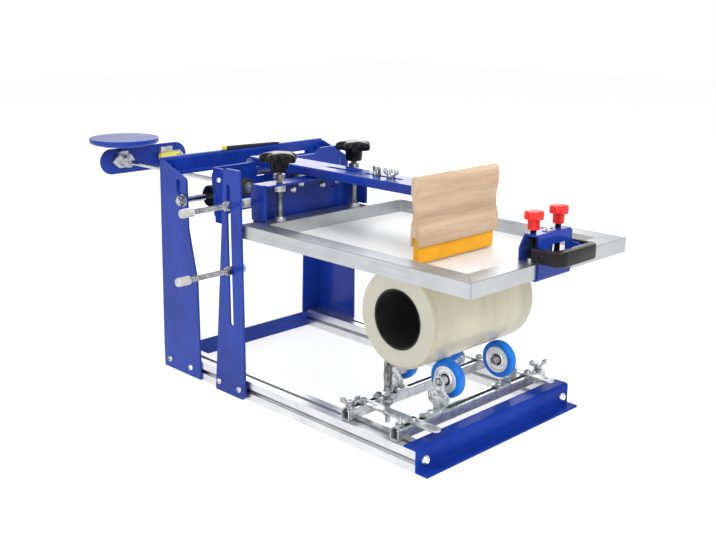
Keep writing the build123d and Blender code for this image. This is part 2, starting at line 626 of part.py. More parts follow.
profile = [(-7.6, 366, 7.2), (7.2, 366, 7.2), (7.2, 342, 8), (3.6, 324, 8), (3.6, 311, 5), (7.2, 301, 3), (7.2, 274, 1.5),
           (-9.4, 274, 1.5), (-8.8, 298, 6), (-4.4, 310, 5), (-4.4, 325, 8), (-7.6, 342, 8)]
wood_pts = []
for p in profile:
    wood_pts.append((squeegee_y + p[0], p[1], p[2]))
wood = yz_plate(wood_x[0], wood_x[1], wood_pts)
wood -= box(wood_x[0] - 1, wood_x[1] + 1, squeegee_y - blade_t / 2, squeegee_y + blade_t / 2, 270, 286)
parts["squeegee_wood"] = wood
blade = box(blade_x[0], blade_x[1], squeegee_y - blade_t / 2, squeegee_y + blade_t / 2, 250.8, 286)
parts["squeegee_blade"] = chamfer(blade.edges().filter_by(Axis.X).group_by(Axis.Z)[0], 0.8)


def wing_nut(span, high, bore):
    """round boss with two raised wings along Y"""
    boss = revolve(Plane.XZ * outline([(bore, 0), (6.5, 0), (5.2, high * 0.55), (bore, high * 0.55)]), Axis.Z)
    wing = outline([(4.0, 0.5), (4.0, high * 0.5), (span / 2 - 4, high, 2), (span / 2, high - 1, 2),
                    (span / 2, high * 0.45, 2), (span / 4, 0.5, 2)])
    wings = extrude(Plane.YZ.offset(-1.3) * wing, amount=2.6)
    boss += wings
    boss += mirror(wings, Plane.XZ)
    return boss


for i, y in enumerate(stud_y):
    nut = wing_nut(26, 13, 3.0 + fit)
    parts["wing_nut_%d" % (i + 1)] = Pos(arm_mid, y, arm_top + 0.1) * Rot(0, 0, 12 - 30 * i) * nut


# cradle: slotted cross rails on the base rails, tied by side links
def strut(y):
    half = cross_size / 2
    top = cross_z + cross_size
    pts = [(y - half, cross_z, 1), (y + half, cross_z, 1), (y + half, top, 1), (y + 3.5, top), (y + 3.5, top - cross_wall),
           (y + half - cross_wall, top - cross_wall), (y + half - cross_wall, cross_z + cross_wall),
           (y - half + cross_wall, cross_z + cross_wall), (y - half + cross_wall, top - cross_wall),
           (y - 3.5, top - cross_wall), (y - 3.5, top), (y - half, top, 1)]
    body = yz_plate(-cross_half, cross_half, pts)
    for sign in (-1, 1):
        body -= rod_along_z(sign * rail_mid, y, cross_z - 1, cross_z + 3, 3.2)
    return body


front_strut = strut(cross_y[0])
rear_strut = strut(cross_y[1])
parts["cross_rail_front"] = front_strut
parts["cross_rail_rear"] = rear_strut
top_face = cross_z + cross_size
roll_y = (cross_y[0] + cross_y[1]) / 2
drop = (cross_y[1] - cross_y[0]) / 2
roll_z = axle_z + math.sqrt((roll_r + wheel_r + roll_gap) ** 2 - drop ** 2)
links = []
for sign in (-1, 1):
    xa = sign * link_x - link_w / 2
    ya = cross_y[0] - 19
    yb = cross_y[1] + 14
    round_end = link_w / 2 - 0.1
    links.append(xy_plate(top_face, top_face + sheet_t, [(xa, ya, round_end), (xa + link_w, ya, round_end),
                                                         (xa + link_w, yb, round_end), (xa, yb, round_end)],
                          [(sign * link_x, cross_y[0], 3.1), (sign * link_x, cross_y[1], 3.1)]))
parts["side_links"] = Compound(links)

fasteners = []
for y in cross_y:
    for x, z in ((-link_x, top_face + sheet_t), (link_x, top_face + sheet_t), (-97.0, top_face + (y == cross_y[1]) * sheet_t)):
        fasteners.append(Pos(x, y, z) * (dome_bolt(5, 3.6) + rod_along_z(0, 0, top_face - 8 - z, 0, 3)))
for sign, y in ((-1, cross_y[0]), (1, cross_y[1])):
    fasteners.append(rod_along_z(sign * rail_mid, y, 24, 61, 2.9))
    ring = Pos(sign * rail_mid, y, top_face) * hex_prism(11, 5) - rod_along_z(sign * rail_mid, y, 40, 60, 2.9)
    fasteners.append(ring)
for sign in (-1, 1):
    for y in cross_y:
        threaded = sign * (y - roll_y) > 0
        plate = box(sign * rail_mid - 5.4, sign * rail_mid + 5.4, y - 6, y + 6, 26.4, 27.9)
        bore = 2.9 if threaded else 3.0 + fit
        fasteners.append(plate - rod_along_z(sign * rail_mid, y, 20, 30, bore))
parts["cradle_bolts"] = Compound(fasteners)

# wing screws lock the cradle to the base rails
wing_z = top_face + 3.9
for name, sign, y in (("wing_screw_rear", -1, cross_y[1]), ("wing_screw_front", 1, cross_y[0])):
    grip_piece = wing_nut(30, 14, 2.9)
    core = rod_along_z(0, 0, 24 - wing_z, 5, 3.0)
    screw = Pos(sign * rail_mid, y, wing_z) * Rot(0, 0, 60) * (grip_piece + core)
    washer = rod_along_z(sign * rail_mid, y, top_face + 0.1, top_face + 1.6, 6.5)
    collar = rod_along_z(sign * rail_mid, y, top_face + 0.1, wing_z + 0.5, 4.5)
    parts[name] = screw + washer + collar

# wheel brackets: foot in the strut slot, fan-shaped cheek with two lightening holes
for tag, x in wheel_x.items():
    y = cross_y[0] if tag[0] == "f" else cross_y[1]
    out = -1 if tag[1] == "l" else 1
    cheek_in = x + out * 17.0
    cheek_out = cheek_in + out * sheet_t
    fan = []
    for side in (-1, 1):
        half_fan = [(6.5, top_face + 0.2), (6.5, 54, 3), (17, 59, 3), (19, 70, 3), (9.8, 79, 4), (9.8, axle_z + 9.5, 9)]
        corners = []
        for dy, z, *r in half_fan:
            corners.append((y + side * dy, z, *r))
        fan += corners if side < 0 else corners[::-1]
    holes = [(y, axle_z, axle_r), (y - 12, 68, 2.3), (y + 12, 68, 2.3)]
    cheek = yz_plate(min(cheek_in, cheek_out), max(cheek_in, cheek_out), fan, holes)
    inner = x - out * 7.0
    lo, hi = min(inner, cheek_out), max(inner, cheek_out)
    foot = box(lo, hi, y - 6.5, y + 6.5, top_face + 0.2, top_face + 3.2)
    tongue = box(lo + 2, hi - 2, y - 3.3, y + 3.3, top_face - 2.4, top_face + 0.3)
    lock = Pos(x, y, top_face + 3.2) * dome_bolt(4.5, 3.2)
    axle = rod_along_x(min(cheek_out + out * 1, x - out * 8.2), max(cheek_out + out * 1, x - out * 8.2), y, axle_z, axle_r)
    head_x = cheek_out + out * 0.0
    head = rod_along_x(min(head_x, head_x + out * 4), max(head_x, head_x + out * 4), y, axle_z, 6.5)
    tip_x = x - out * 8.2
    tip = rod_along_x(min(tip_x, tip_x - out * 4), max(tip_x, tip_x - out * 4), y, axle_z, 6.0)
    spacer_a = x + out * (wheel_w / 2 + 1.7)
    spacer = rod_along_x(min(cheek_in, spacer_a), max(cheek_in, spacer_a), y, axle_z, 6.0)
    parts["bracket_" + tag] = cheek + foot + tongue + lock + axle + head + tip + spacer
    half = wheel_w / 2
    tyre = revolve(Plane.XY * outline([(-half, wheel_hub_r), (half, wheel_hub_r), (half, wheel_r - 2.4),
                                       (half - 1.8, wheel_r), (1.8 - half, wheel_r), (-half, wheel_r - 2.4)]), Axis.X)
    bore = axle_r + fit
    race = [(-half - 1.2, bore), (half + 1.2, bore), (half + 1.2, 9.5), (half - 1.2, 11), (half - 1.2, 16.5),
            (half, wheel_hub_r), (-half, wheel_hub_r), (1.2 - half, 16.5), (1.2 - half, 11), (-half - 1.2, 9.5)]
    hub = revolve(Plane.XY * outline(race), Axis.X)
    parts["wheel_" + tag] = Compound([Pos(x, y, axle_z) * tyre, Pos(x, y, axle_z) * hub])

# the roll: thick sleeve with rounded rims and a dark liner in the bore
x0, x1 = roll_x
shell = revolve(Plane.XY * outline([(x0, roll_bore), (x1, roll_bore), (x1, roll_r, 4.5), (x0, roll_r, 4.5)]), Axis.X)
liner = revolve(Plane.XY * outline([(x0 + 0.5, roll_bore - roll_liner), (x1 - 0.5, roll_bore - roll_liner),
                                    (x1 - 0.5, roll_bore), (x0 + 0.5, roll_bore)]), Axis.X)
parts["roll_shell"] = Pos(0, roll_y, roll_z) * shell
parts["roll_liner"] = Pos(0, roll_y, roll_z) * liner

# end post: stem through a tab bolted on the rear strut, a nut each side and one near its foot
px, py = end_post_x, end_post_y
tab = xy_plate(top_face, top_face + sheet_t, [(px - 8, py - 8, 7.9), (px + 8, py - 8, 7.9), (px + 8, cross_y[1] + 7, 2),
                                              (px - 8, cross_y[1] + 7, 2)], [(px, cross_y[1], 3.1)])
post = rod_along_z(px, py, 13, end_post_top, 4.2)
for z in (top_face - 5, top_face + sheet_t, 25.0):
    post += Pos(px, py, z) * hex_prism(12.5, 5)
parts["end_post"] = tab + chamfer(post.edges().filter_by(GeomType.CIRCLE).sort_by(Axis.Z)[-1:], 0.8)

os.makedirs("parts", exist_ok=True)
for name, shape in parts.items():
    export_step(shape, "parts/" + name + ".step")
print(len(parts), "nodes")
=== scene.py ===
# Bench press for printing round ware: finishes, finer pieces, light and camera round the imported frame.
# Materials work in metres, the new pieces in millimetres until they become meshes.
import json
import math

import bmesh
import bpy
import numpy as np
from mathutils import Matrix, Vector


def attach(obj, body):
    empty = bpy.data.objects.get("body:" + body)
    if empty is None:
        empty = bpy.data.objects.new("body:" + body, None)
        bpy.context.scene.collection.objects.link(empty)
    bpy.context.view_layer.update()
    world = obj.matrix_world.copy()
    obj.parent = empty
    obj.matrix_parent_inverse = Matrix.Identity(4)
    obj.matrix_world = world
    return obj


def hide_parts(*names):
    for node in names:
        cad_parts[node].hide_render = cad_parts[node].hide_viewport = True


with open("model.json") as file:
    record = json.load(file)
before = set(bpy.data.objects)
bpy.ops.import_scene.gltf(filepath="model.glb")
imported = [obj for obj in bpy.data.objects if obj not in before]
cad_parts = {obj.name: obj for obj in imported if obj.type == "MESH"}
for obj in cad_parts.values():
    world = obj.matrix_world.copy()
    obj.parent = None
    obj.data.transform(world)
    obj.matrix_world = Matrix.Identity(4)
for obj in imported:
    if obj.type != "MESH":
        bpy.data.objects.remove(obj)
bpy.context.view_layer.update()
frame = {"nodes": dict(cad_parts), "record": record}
nodes = frame["nodes"]
scene = bpy.context.scene
mm = 0.001
tau = 2 * math.pi
quarter = tau / 4
upward, rightward, leftward = (0, 0, 1), (1, 0, 0), (-1, 0, 0)
frontward, rearward = (0, -1, 0), (0, 1, 0)
print("stage: frame loaded,", len(nodes), "parts")


def mathOp(op, swap=False):
    # operator of a wire: a Math node, with the two values swapped where the wire stands second
    return lambda wire, other: wire.calc(op, other, swap)


class Wire:
    # one output socket of a node
    def __init__(self, coat, socket):
        self.coat = coat
        self.socket = socket

    def calc(self, op, other=None, swap=False):
        values = [other, self] if swap else [self, other]
        given = dict(enumerate(v for v in values if v is not None))
        return self.coat.node("ShaderNodeMath", {"operation": op}, given)

    __add__, __radd__ = mathOp("ADD"), mathOp("ADD", swap=True)
    __sub__, __rsub__ = mathOp("SUBTRACT"), mathOp("SUBTRACT", swap=True)
    __mul__, __rmul__ = mathOp("MULTIPLY"), mathOp("MULTIPLY", swap=True)
    __pow__ = mathOp("POWER")

    def size(self):
        return self.calc("ABSOLUTE")

    def wave(self, length):
        # 0..1 ripple of this wavelength
        return (self * (tau / length)).calc("SINE") * 0.5 + 0.5

    def band(self, low, high):
        # 0 below low, 1 above high, smooth between
        limits = {"Value": self, "From Min": low, "From Max": high}
        return self.coat.node("ShaderNodeMapRange", {"interpolation_type": "SMOOTHSTEP"}, limits)


class Coat:
    # one material; node() adds any node: type, settings first, then socket values or links
    def __init__(self, name, **base):
        self.mat = bpy.data.materials.new(name)
        self.mat.use_nodes = True
        self.tree = self.mat.node_tree
        self.tree.nodes.clear()
        self.surface = self.tree.nodes.new("ShaderNodeBsdfPrincipled")
        out = self.tree.nodes.new("ShaderNodeOutputMaterial")
        self.tree.links.new(self.surface.outputs[0], out.inputs["Surface"])
        self.set(**base)

    def feed(self, node, key, value):
        socket = node.inputs[key]
        if isinstance(value, Wire):
            self.tree.links.new(value.socket, socket)
        elif isinstance(value, (tuple, list)) and len(value) == 3 and socket.type == "RGBA":
            socket.default_value = (*value, 1.0)
        else:
            socket.default_value = value

    def node(self, kind, settings=None, values=None, out=0):
        made = self.tree.nodes.new(kind)
        for key, value in (settings or {}).items():
            setattr(made, key, value)
        for key, value in (values or {}).items():
            self.feed(made, key, value)
        return Wire(self, made.outputs[out])

    def set(self, **sockets):
        for key, value in sockets.items():
            self.feed(self.surface, key.replace("_", " "), value)

    def place(self, scale=(1, 1, 1), at=(0, 0, 0)):
        # object coordinates in metres, measured from a place and scaled
        where = self.node("ShaderNodeTexCoord", out=3)
        shift = tuple(-a * s for a, s in zip(at, scale))
        return self.node("ShaderNodeMapping", {}, {"Vector": where, "Scale": scale, "Location": shift})

    def axes(self, at=(0, 0, 0)):
        apart = self.tree.nodes.new("ShaderNodeSeparateXYZ")
        self.feed(apart, 0, self.place(at=at))
        return [Wire(self, apart.outputs[i]) for i in range(3)]

    def noise(self, scale, detail=3.0, rough=0.55, stretch=(1, 1, 1)):
        values = {"Vector": self.place(stretch), "Scale": scale, "Detail": detail, "Roughness": rough}
        return self.node("ShaderNodeTexNoise", {}, values)

    def blend(self, mask, low, high):
        # colour mix: low where the mask is 0, high where it is 1
        made = self.tree.nodes.new("ShaderNodeMix")
        made.data_type = "RGBA"
        for key, value in ((0, mask), (6, low), (7, high)):
            self.feed(made, key, value)
        return Wire(self, made.outputs[2])

    def bump(self, height, strength, depth):
        return self.node("ShaderNodeBump", {}, {"Height": height, "Strength": strength, "Distance": depth})


fineRelief = 0.0002  # metres that fine grain stands up
coarseRelief = 0.0004

powder = {
    "colour": (0.0105, 0.044, 0.335), "deep": (0.006, 0.027, 0.245), "dust": (0.20, 0.24, 0.38),
    "patchScale": 9.0, "dustScale": 160.0, "dustShare": 0.04, "peelScale": 900.0, "peel": 0.06, "smoothest": 0.15,
}


def powderBlue(name, gloss):
    # stoved powder coat: faint orange peel, a little pale dust, duller patches
    coat = Coat(name, Specular_IOR_Level=gloss)
    broad = coat.noise(powder["patchScale"], 4.0)
    dust = coat.noise(powder["dustScale"], 2.0).band(0.68, 0.80) * powder["dustShare"]
    colour = coat.blend(broad.band(0.35, 0.68), powder["colour"], powder["deep"])
    peel = coat.noise(powder["peelScale"], 2.0)
    coat.set(Base_Color=coat.blend(dust, colour, powder["dust"]), Roughness=powder["smoothest"] + broad * 0.12,
             Normal=coat.bump(peel, powder["peel"], fineRelief))
    return coat.mat


drawn = {
    "rail": ((0.80, 0.81, 0.82), (0.56, 0.57, 0.59)),
    "frame": ((0.57, 0.59, 0.60), (0.41, 0.43, 0.45)),
    "weld": (0.24, 0.25, 0.27),
    "lineScale": 900.0,  # fine across the drawing direction
    "lineLength": 6.0,  # long along it
    "cloudScale": 22.0, "scuffScale": 70.0, "relief": 0.14,
    "weldHalf": (0.0006, 0.0022),  # full and faded half width of a corner weld
    "weldStain": 0.45, "weldHeight": 1.4,
}


def drawnAluminium(name, tone, rough, frameCorner=None):
    # metal drawn along Y: fine lines, cloudy oxide, scuffs; a frame's corners have mitred weld lines
    coat = Coat(name, Metallic=1.0)
    lines = coat.noise(1.0, 2.0, 0.6, (drawn["lineScale"], drawn["lineLength"], drawn["lineScale"]))
    cloud = coat.noise(drawn["cloudScale"], 5.0, 0.6)
    scuff = coat.noise(drawn["scuffScale"], 6.0, 0.75).band(0.60, 0.72)
    mask = (lines * 0.45 + cloud * 0.6).band(0.30, 0.85)
    colour = coat.blend(mask, *tone)
    height = lines
    if frameCorner:
        # on a mitre, the way to the side face is as long as the way to the end face
        halfX, midY, halfY = frameCorner
        x, y, _ = coat.axes((0.0, midY, 0.0))
        gap = ((halfX - x.size()) - (halfY - y.size())).size()
        weld = 1 - gap.band(*drawn["weldHalf"])
        height = lines + weld * drawn["weldHeight"]
        colour = coat.blend(weld * drawn["weldStain"], colour, drawn["weld"])
    coat.set(Base_Color=colour, Roughness=rough + lines * 0.12 + scuff * 0.10,
             Normal=coat.bump(height, drawn["relief"], fineRelief))
    return coat.mat


# pale and dark shade and smoothest roughness of each plated or cast steel
plated = {
    "zincPlate": ((0.68, 0.70, 0.71), (0.36, 0.38, 0.39), 0.24),
    "castZinc": ((0.46, 0.47, 0.48), (0.13, 0.14, 0.15), 0.10),
    "boltSilver": ((0.86, 0.87, 0.88), (0.42, 0.43, 0.44), 0.12),
    "wheelSilver": ((0.92, 0.93, 0.94), (0.78, 0.79, 0.80), 0.34),
    "studSteel": ((0.40, 0.41, 0.42), (0.20, 0.21, 0.22), 0.14),
    "postSteel": ((0.52, 0.53, 0.54), (0.14, 0.145, 0.15), 0.10),
    "blackStud": ((0.035, 0.035, 0.040), (0.014, 0.014, 0.016), 0.26),
}
platedGrain = {"cloudScale": 85.0, "fineScale": 420.0, "relief": 0.04}


def platedSteel(name):
    # clouded plating with a fine grain
    coat = Coat(name, Metallic=0.92)
    pale, dark, rough = plated[name]
    cloud = coat.noise(platedGrain["cloudScale"], 5.0, 0.65)
    fine = coat.noise(platedGrain["fineScale"], 3.0, 0.6)
    coat.set(Base_Color=coat.blend(cloud.band(0.38, 0.70), pale, dark), Roughness=rough + fine * 0.16,
             Normal=coat.bump(fine, platedGrain["relief"], fineRelief))
    return coat.mat


ground = {"pale": (0.62, 0.63, 0.64), "dark": (0.34, 0.35, 0.37), "marks": (60.0, 900.0, 60.0), "smoothest": 0.09}


def groundSteel():
    # grinding marks run round the guide rods
    coat = Coat("groundSteel", Metallic=1.0)
    fine = coat.noise(1.0, 2.0, 0.5, ground["marks"])
    coat.set(Base_Color=coat.blend(fine.band(0.3, 0.8), ground["pale"], ground["dark"]),
             Roughness=ground["smoothest"] + fine * 0.10)
    return coat.mat


# colour, its second shade, roughness, grain and, where it is not the usual 0.5, specular level
mouldings = {
    "blackPlastic": ((0.005, 0.005, 0.006), (0.012, 0.012, 0.014), 0.17, 0.10, 0.26),
    "knobBlack": ((0.003, 0.003, 0.004), (0.008, 0.008, 0.009), 0.12, 0.08, 0.13),
    "redPlastic": ((0.86, 0.012, 0.010), (0.70, 0.008, 0.008), 0.26, 0.10),
    "softVinyl": ((0.56, 0.56, 0.54), (0.40, 0.40, 0.39), 0.22, 0.10),
    "blackRubber": ((0.010, 0.010, 0.010), (0.028, 0.028, 0.028), 0.58, 0.30),
    "yellowPlastic": ((0.80, 0.70, 0.10), (0.66, 0.54, 0.05), 0.35, 0.12),
    "blueTyre": ((0.002, 0.190, 0.74), (0.002, 0.130, 0.58), 0.26, 0.06, 0.30),
    # near-black finish of the roll's bore
    "boreBlack": ((0.006, 0.006, 0.006), (0.018, 0.018, 0.017), 0.66, 0.30),
}
mouldedGrain = {"cloudScale": 40.0, "sparkScale": 1500.0}


def moulded(name):
    # moulded plastic or rubber: fine spark grain and a slightly polished variation
    colour, second, rough, grain, *level = mouldings[name]
    coat = Coat(name, **({"Specular_IOR_Level": level[0]} if level else {}))
    cloud = coat.noise(mouldedGrain["cloudScale"], 3.0)
    fine = coat.noise(mouldedGrain["sparkScale"], 2.0)
    coat.set(Base_Color=coat.blend(cloud.band(0.3, 0.75), colour, second), Roughness=rough + cloud * 0.12,
             Normal=coat.bump(fine, grain, fineRelief))
    return coat.mat


timber = {
    "pale": (0.625, 0.462, 0.322), "warm": (0.505, 0.347, 0.220), "streak": (0.36, 0.22, 0.14),
    "fleck": (0.34, 0.19, 0.10),
    "figureScale": (8.0, 90.0, 46.0), "streakScale": (14.0, 260.0, 420.0), "fleckScale": (190.0, 1500.0, 1300.0),
    "streakShare": 0.38, "waistShare": 0.42, "fleckShare": 0.30,
    "waistLow": (0.300, 0.306), "waistHigh": (0.316, 0.326),  # heights where the waist's shadow starts and ends
}


def beech():
    # planed board: long figure along X, fine darker streaks, a shadowed band at the waist
    coat = Coat("beech", Coat_Weight=0.04)
    z = coat.axes()[2]
    figure = coat.noise(1.0, 6.0, 0.62, timber["figureScale"])
    streak = coat.noise(1.0, 4.0, 0.60, timber["streakScale"]).band(0.52, 0.70)
    fleck = coat.noise(1.0, 2.0, 0.5, timber["fleckScale"]).band(0.60, 0.70)
    waist = z.band(*timber["waistLow"]) * (1 - z.band(*timber["waistHigh"]))
    colour = coat.blend(figure.band(0.34, 0.70), timber["pale"], timber["warm"])
    # the painted shadow at the waist is mixed in here, in the colour of the streaks
    colour = coat.blend(streak * timber["streakShare"] + waist * timber["waistShare"], colour, timber["streak"])
    colour = coat.blend(fleck * timber["fleckShare"], colour, timber["fleck"])
    coat.set(Base_Color=colour, Roughness=0.50 + figure * 0.14,
             Normal=coat.bump(figure + streak * 0.4, 0.22, coarseRelief))
    return coat.mat


amber = {"clear": (0.88, 0.41, 0.005), "dense": (0.78, 0.34, 0.004), "lowEdge": (0.55, 0.26, 0.05),
         "lowEdgeHeight": (0.2515, 0.2560), "lowEdgeShare": 0.35, "cloudScale": 30.0}


def amberBlade():
    # cast rubber, its colour darker along the lowest edge of the blade
    coat = Coat("amberBlade", Specular_IOR_Level=0.28)
    cloud = coat.noise(amber["cloudScale"], 3.0)
    z = coat.axes()[2]
    lowEdge = 1 - z.band(*amber["lowEdgeHeight"])
    colour = coat.blend(cloud.band(0.3, 0.75), amber["clear"], amber["dense"])
    coat.set(Base_Color=coat.blend(lowEdge * amber["lowEdgeShare"], colour, amber["lowEdge"]), Roughness=0.30 + cloud * 0.14)
    return coat.mat


weaveOf = {"pitch": 0.0009, "shade": (0.79, 0.80, 0.80), "light": (0.90, 0.90, 0.88), "cloudScale": 7.0}


def wovenMesh():
    # plain weave: two crossed ripples, with slow light and dark clouds
    coat = Coat("wovenMesh")
    x, y, _ = coat.axes()
    weave = x.wave(weaveOf["pitch"]) * y.wave(weaveOf["pitch"])
    cloud = coat.noise(weaveOf["cloudScale"], 3.0)
    colour = coat.blend(weave * 0.35 + cloud * 0.40, weaveOf["shade"], weaveOf["light"])
    coat.set(Base_Color=colour, Roughness=0.46 + weave * 0.12, Normal=coat.bump(weave, 0.25, fineRelief))
    return coat.mat


film = {
    "centre": (0.0, 0.100, 0.17266),
    "cream": (0.570, 0.540, 0.390), "deep": (0.420, 0.410, 0.300), "end": (0.51, 0.50, 0.41),
    "ring": (0.46, 0.44, 0.33),
    "ringPitch": 0.0013, "faceEdge": (0.0640, 0.0665), "coreEdge": (0.0425, 0.0500),  # radii where shades change
    "driftScale": (22.0, 4.0, 4.0), "ringShare": 0.16, "coreShare": 0.30,
}


def woundFilm():
    # many turns of clear film: cream body, close rings on the ends, soft bands along the roll
    coat = Coat("woundFilm", Coat_Weight=0.35, Coat_Roughness=0.16, Subsurface_Weight=0.25, Subsurface_Scale=0.02)
    _, y, z = coat.axes(film["centre"])
    radius = (y * y + z * z) ** 0.5
    rings = radius.wave(film["ringPitch"])
    drift = coat.noise(1.0, 4.0, 0.6, film["driftScale"])
    face = 1 - radius.band(*film["faceEdge"])
    colour = coat.blend(drift.band(0.30, 0.74), film["cream"], film["deep"])
    colour = coat.blend(face, colour, film["end"])
    core = 1 - radius.band(*film["coreEdge"])
    colour = coat.blend(face * rings * film["ringShare"] + core * film["coreShare"], colour, film["ring"])
    coat.set(Base_Color=colour, Roughness=0.22 + drift * 0.16,
             Normal=coat.bump(rings * face + drift * 0.6, 0.15, coarseRelief))
    return coat.mat


zinc, castZinc, boltSilver, wheelSilver, studSteel, postSteel, blackStud = (
    platedSteel(name) for name in
    ("zincPlate", "castZinc", "boltSilver", "wheelSilver", "studSteel", "postSteel", "blackStud"))
blackPlastic, knobBlack, softVinyl, blueTyre = (
    moulded(name) for name in ("blackPlastic", "knobBlack", "softVinyl", "blueTyre"))
redPlastic, yellowPlastic, padRubber = (moulded(name) for name in ("redPlastic", "yellowPlastic", "blackRubber"))
coatBlue, rodSteel, rollFilm = powderBlue("powderBlue", 0.24), groundSteel(), woundFilm()

# what each of the record's material slots looks like, and the two nodes that differ from theirs
finish = {
    "blue_steel": coatBlue, "aluminium": drawnAluminium("railAluminium", drawn["rail"], 0.26), "zinc": zinc,
    "chrome_rod": rodSteel, "black_plastic": blackPlastic, "red_plastic": redPlastic, "black_rubber": padRubber,
    "yellow_plastic": yellowPlastic, "beech": beech(), "blade": amberBlade(), "mesh": wovenMesh(),
    "blue_tyre": blueTyre, "film": rollFilm, "core": moulded("boreBlack"),
}
ownFinish = {
    "screen_frame": drawnAluminium("frameAluminium", drawn["frame"], 0.34, frameCorner=(0.1685, 0.1445, 0.2135)),
    "front_plate": powderBlue("rubbedBlue", 0.04),
}
slotOf = {part["node"]: part["material_slot"] for part in frame["record"]["subparts"]}
for name, piece in nodes.items():
    piece.data.materials.clear()
    piece.data.materials.append(ownFinish.get(name, finish[slotOf[name]]))
print("stage: finishes on")


class Shape:
    # grids of points in millimetres gathered into one mesh, each grid with its own finish
    def __init__(self, name):
        self.name = name
        self.points, self.quads, self.marks, self.finishes = [], [], [], []
        self.count = 0

    def grid(self, points, paint, tube=False):
        # rows of points closed round the first direction, and round the second where it is a tube
        nu, nv = points.shape[:2]
        ids = np.arange(nu * nv).reshape(nu, nv)
        ids = np.vstack([ids, ids[:1]])
        if tube:
            ids = np.hstack([ids, ids[:, :1]])
        quads = np.stack([ids[:-1, :-1], ids[1:, :-1], ids[1:, 1:], ids[:-1, 1:]], -1).reshape(-1, 4)
        self.faces(points.reshape(-1, 3), quads.tolist(), paint)

    def faces(self, points, faces, paint):
        if paint not in self.finishes:
            self.finishes.append(paint)
        self.points.append(points)
        self.quads += [[i + self.count for i in face] for face in faces]
        self.marks += [self.finishes.index(paint)] * len(faces)
        self.count += len(points)

    def done(self, body, stands=(), crease=34.0):
        # doubles merged, faces turned out, edges sharper than the crease angle kept sharp
        data = bpy.data.meshes.new(self.name)
        data.from_pydata((np.concatenate(self.points) * mm).tolist(), [], self.quads)
        data.polygons.foreach_set("material_index", self.marks)
        for paint in self.finishes:
            data.materials.append(paint)
        work = bmesh.new()
        work.from_mesh(data)
        bmesh.ops.remove_doubles(work, verts=work.verts, dist=1e-6)
        bmesh.ops.recalc_face_normals(work, faces=work.faces)
        work.to_mesh(data)
        work.free()
        data.polygons.foreach_set("use_smooth", np.ones(len(data.polygons), dtype=bool))
        data.set_sharp_from_angle(angle=math.radians(crease))
        made = bpy.data.objects.new(self.name, data)
        scene.collection.objects.link(made)
        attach(made, body)
        if stands:
            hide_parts(*stands)


def put(local, at, direction, turn=0.0):
    # local Z goes along the direction; turn is about it, in degrees
    d = np.array(direction, float) / np.linalg.norm(direction)
    a = np.array([1.0, 0, 0]) if abs(d[0]) < 0.9 else np.array([0, 1.0, 0])
    x = a - d * (a @ d)
    x /= np.linalg.norm(x)
    y = np.cross(d, x)
    c, s = math.cos(math.radians(turn)), math.sin(math.radians(turn))
    return np.array(at, float) + local @ np.array([c * x + s * y, c * y - s * x, d])


def angles(around):
    # equal steps round a circle, in radians
    return np.arange(around) * tau / around


def ringed(rows, at, direction=upward, around=48, turn=0.0):
    # a profile turned round an axis: rows are (radius, height), a radius one number or one per angle
    a = angles(around)
    rings = [np.stack([np.cos(a) * r, np.sin(a) * r, np.full(around, float(h))], -1) for r, h in rows]
    return put(np.stack(rings, 1), at, direction, turn)


def hexagon(around, across):
    # distance from the centre to a hexagon's side at each angle
    return across / 2 / np.cos((angles(around) + tau / 12) % (tau / 6) - tau / 12)


def nut(shape, at, direction, across, high, bore, paint, turn=0.0):
    # hexagon prism whose corners are turned off by a cone at both faces
    side = hexagon(48, across)
    rows = [(bore, 0.0)]
    for z in (0, 0.2, 0.45, 0.8, high / 2, high - 0.8, high - 0.45, high - 0.2, high):
        rows.append((np.minimum(side, across * 0.49 + 1.9 * min(z, high - z)), z))
    rows.append((bore, high))
    shape.grid(ringed(rows, at, direction, 48, turn), paint, tube=bore > 0)


def button(shape, at, direction, radius, high, paint, turn=0.0):
    # domed head with a hexagon socket: a sine arc from the rim up to the socket's edge
    socket = hexagon(48, radius * 0.98)
    topAngle = 58
    rows = [(0.0, 0.0), (radius * 0.97, 0.0), (radius, high * 0.05), (radius, high * 0.16)]
    for step in np.linspace(8, topAngle, 6):
        a = math.radians(step)
        rows.append((radius * math.cos(a), high * (0.12 + 0.88 * math.sin(a) / math.sin(math.radians(topAngle)))))
    rows += [(socket * 1.04, high), (socket, high - 0.15), (socket, high * 0.42), (0.0, high * 0.34)]
    shape.grid(ringed(rows, at, direction, 48, turn), paint)


def thread(shape, at, direction, radius, length, pitch, paint, around=24):
    # r = radius - depth (1 - cos(2 pi z / pitch - angle)) / 2, run out to a cone at both ends
    depth = pitch * 0.5
    steps = max(4, int(length / pitch * 6))
    a = angles(around)
    rows = [(0.0, 0.0)]
    for z in np.linspace(0, length, steps + 1):
        r = radius - depth * (1 - np.cos(tau * z / pitch - a)) / 2
        rows.append((np.minimum(r, radius - depth + min(z, length - z) * 1.2), z))
    rows.append((0.0, length))
    shape.grid(ringed(rows, at, direction, around), paint)


def stud(shape, x, y, sizes, paint, around=24):
    # upright thread: height of its foot, then radius, length and pitch
    foot, *threadSizes = sizes
    thread(shape, (x, y, foot), upward, *threadSizes, paint, around)


def washer(shape, at, direction, radius, bore, high, paint):
    # rectangle with its outer corners cut off, carried round the axis
    ease = 0.3
    rows = [(bore, 0), (radius - ease, 0), (radius, ease), (radius, high - ease), (radius - ease, high), (bore, high)]
    shape.grid(ringed(rows, at, direction), paint, tube=True)


def roundRect(halfX, halfY, radius, steps=6):
    # closed outline, points anticlockwise: a quarter circle at each corner
    points = []
    for corner, (sx, sy) in enumerate(((1, 1), (-1, 1), (-1, -1), (1, -1))):
        for a in np.linspace(0, quarter, steps) + corner * quarter:
            points.append((sx * (halfX - radius) + radius * math.cos(a), sy * (halfY - radius) + radius * math.sin(a)))
    return np.array(points)


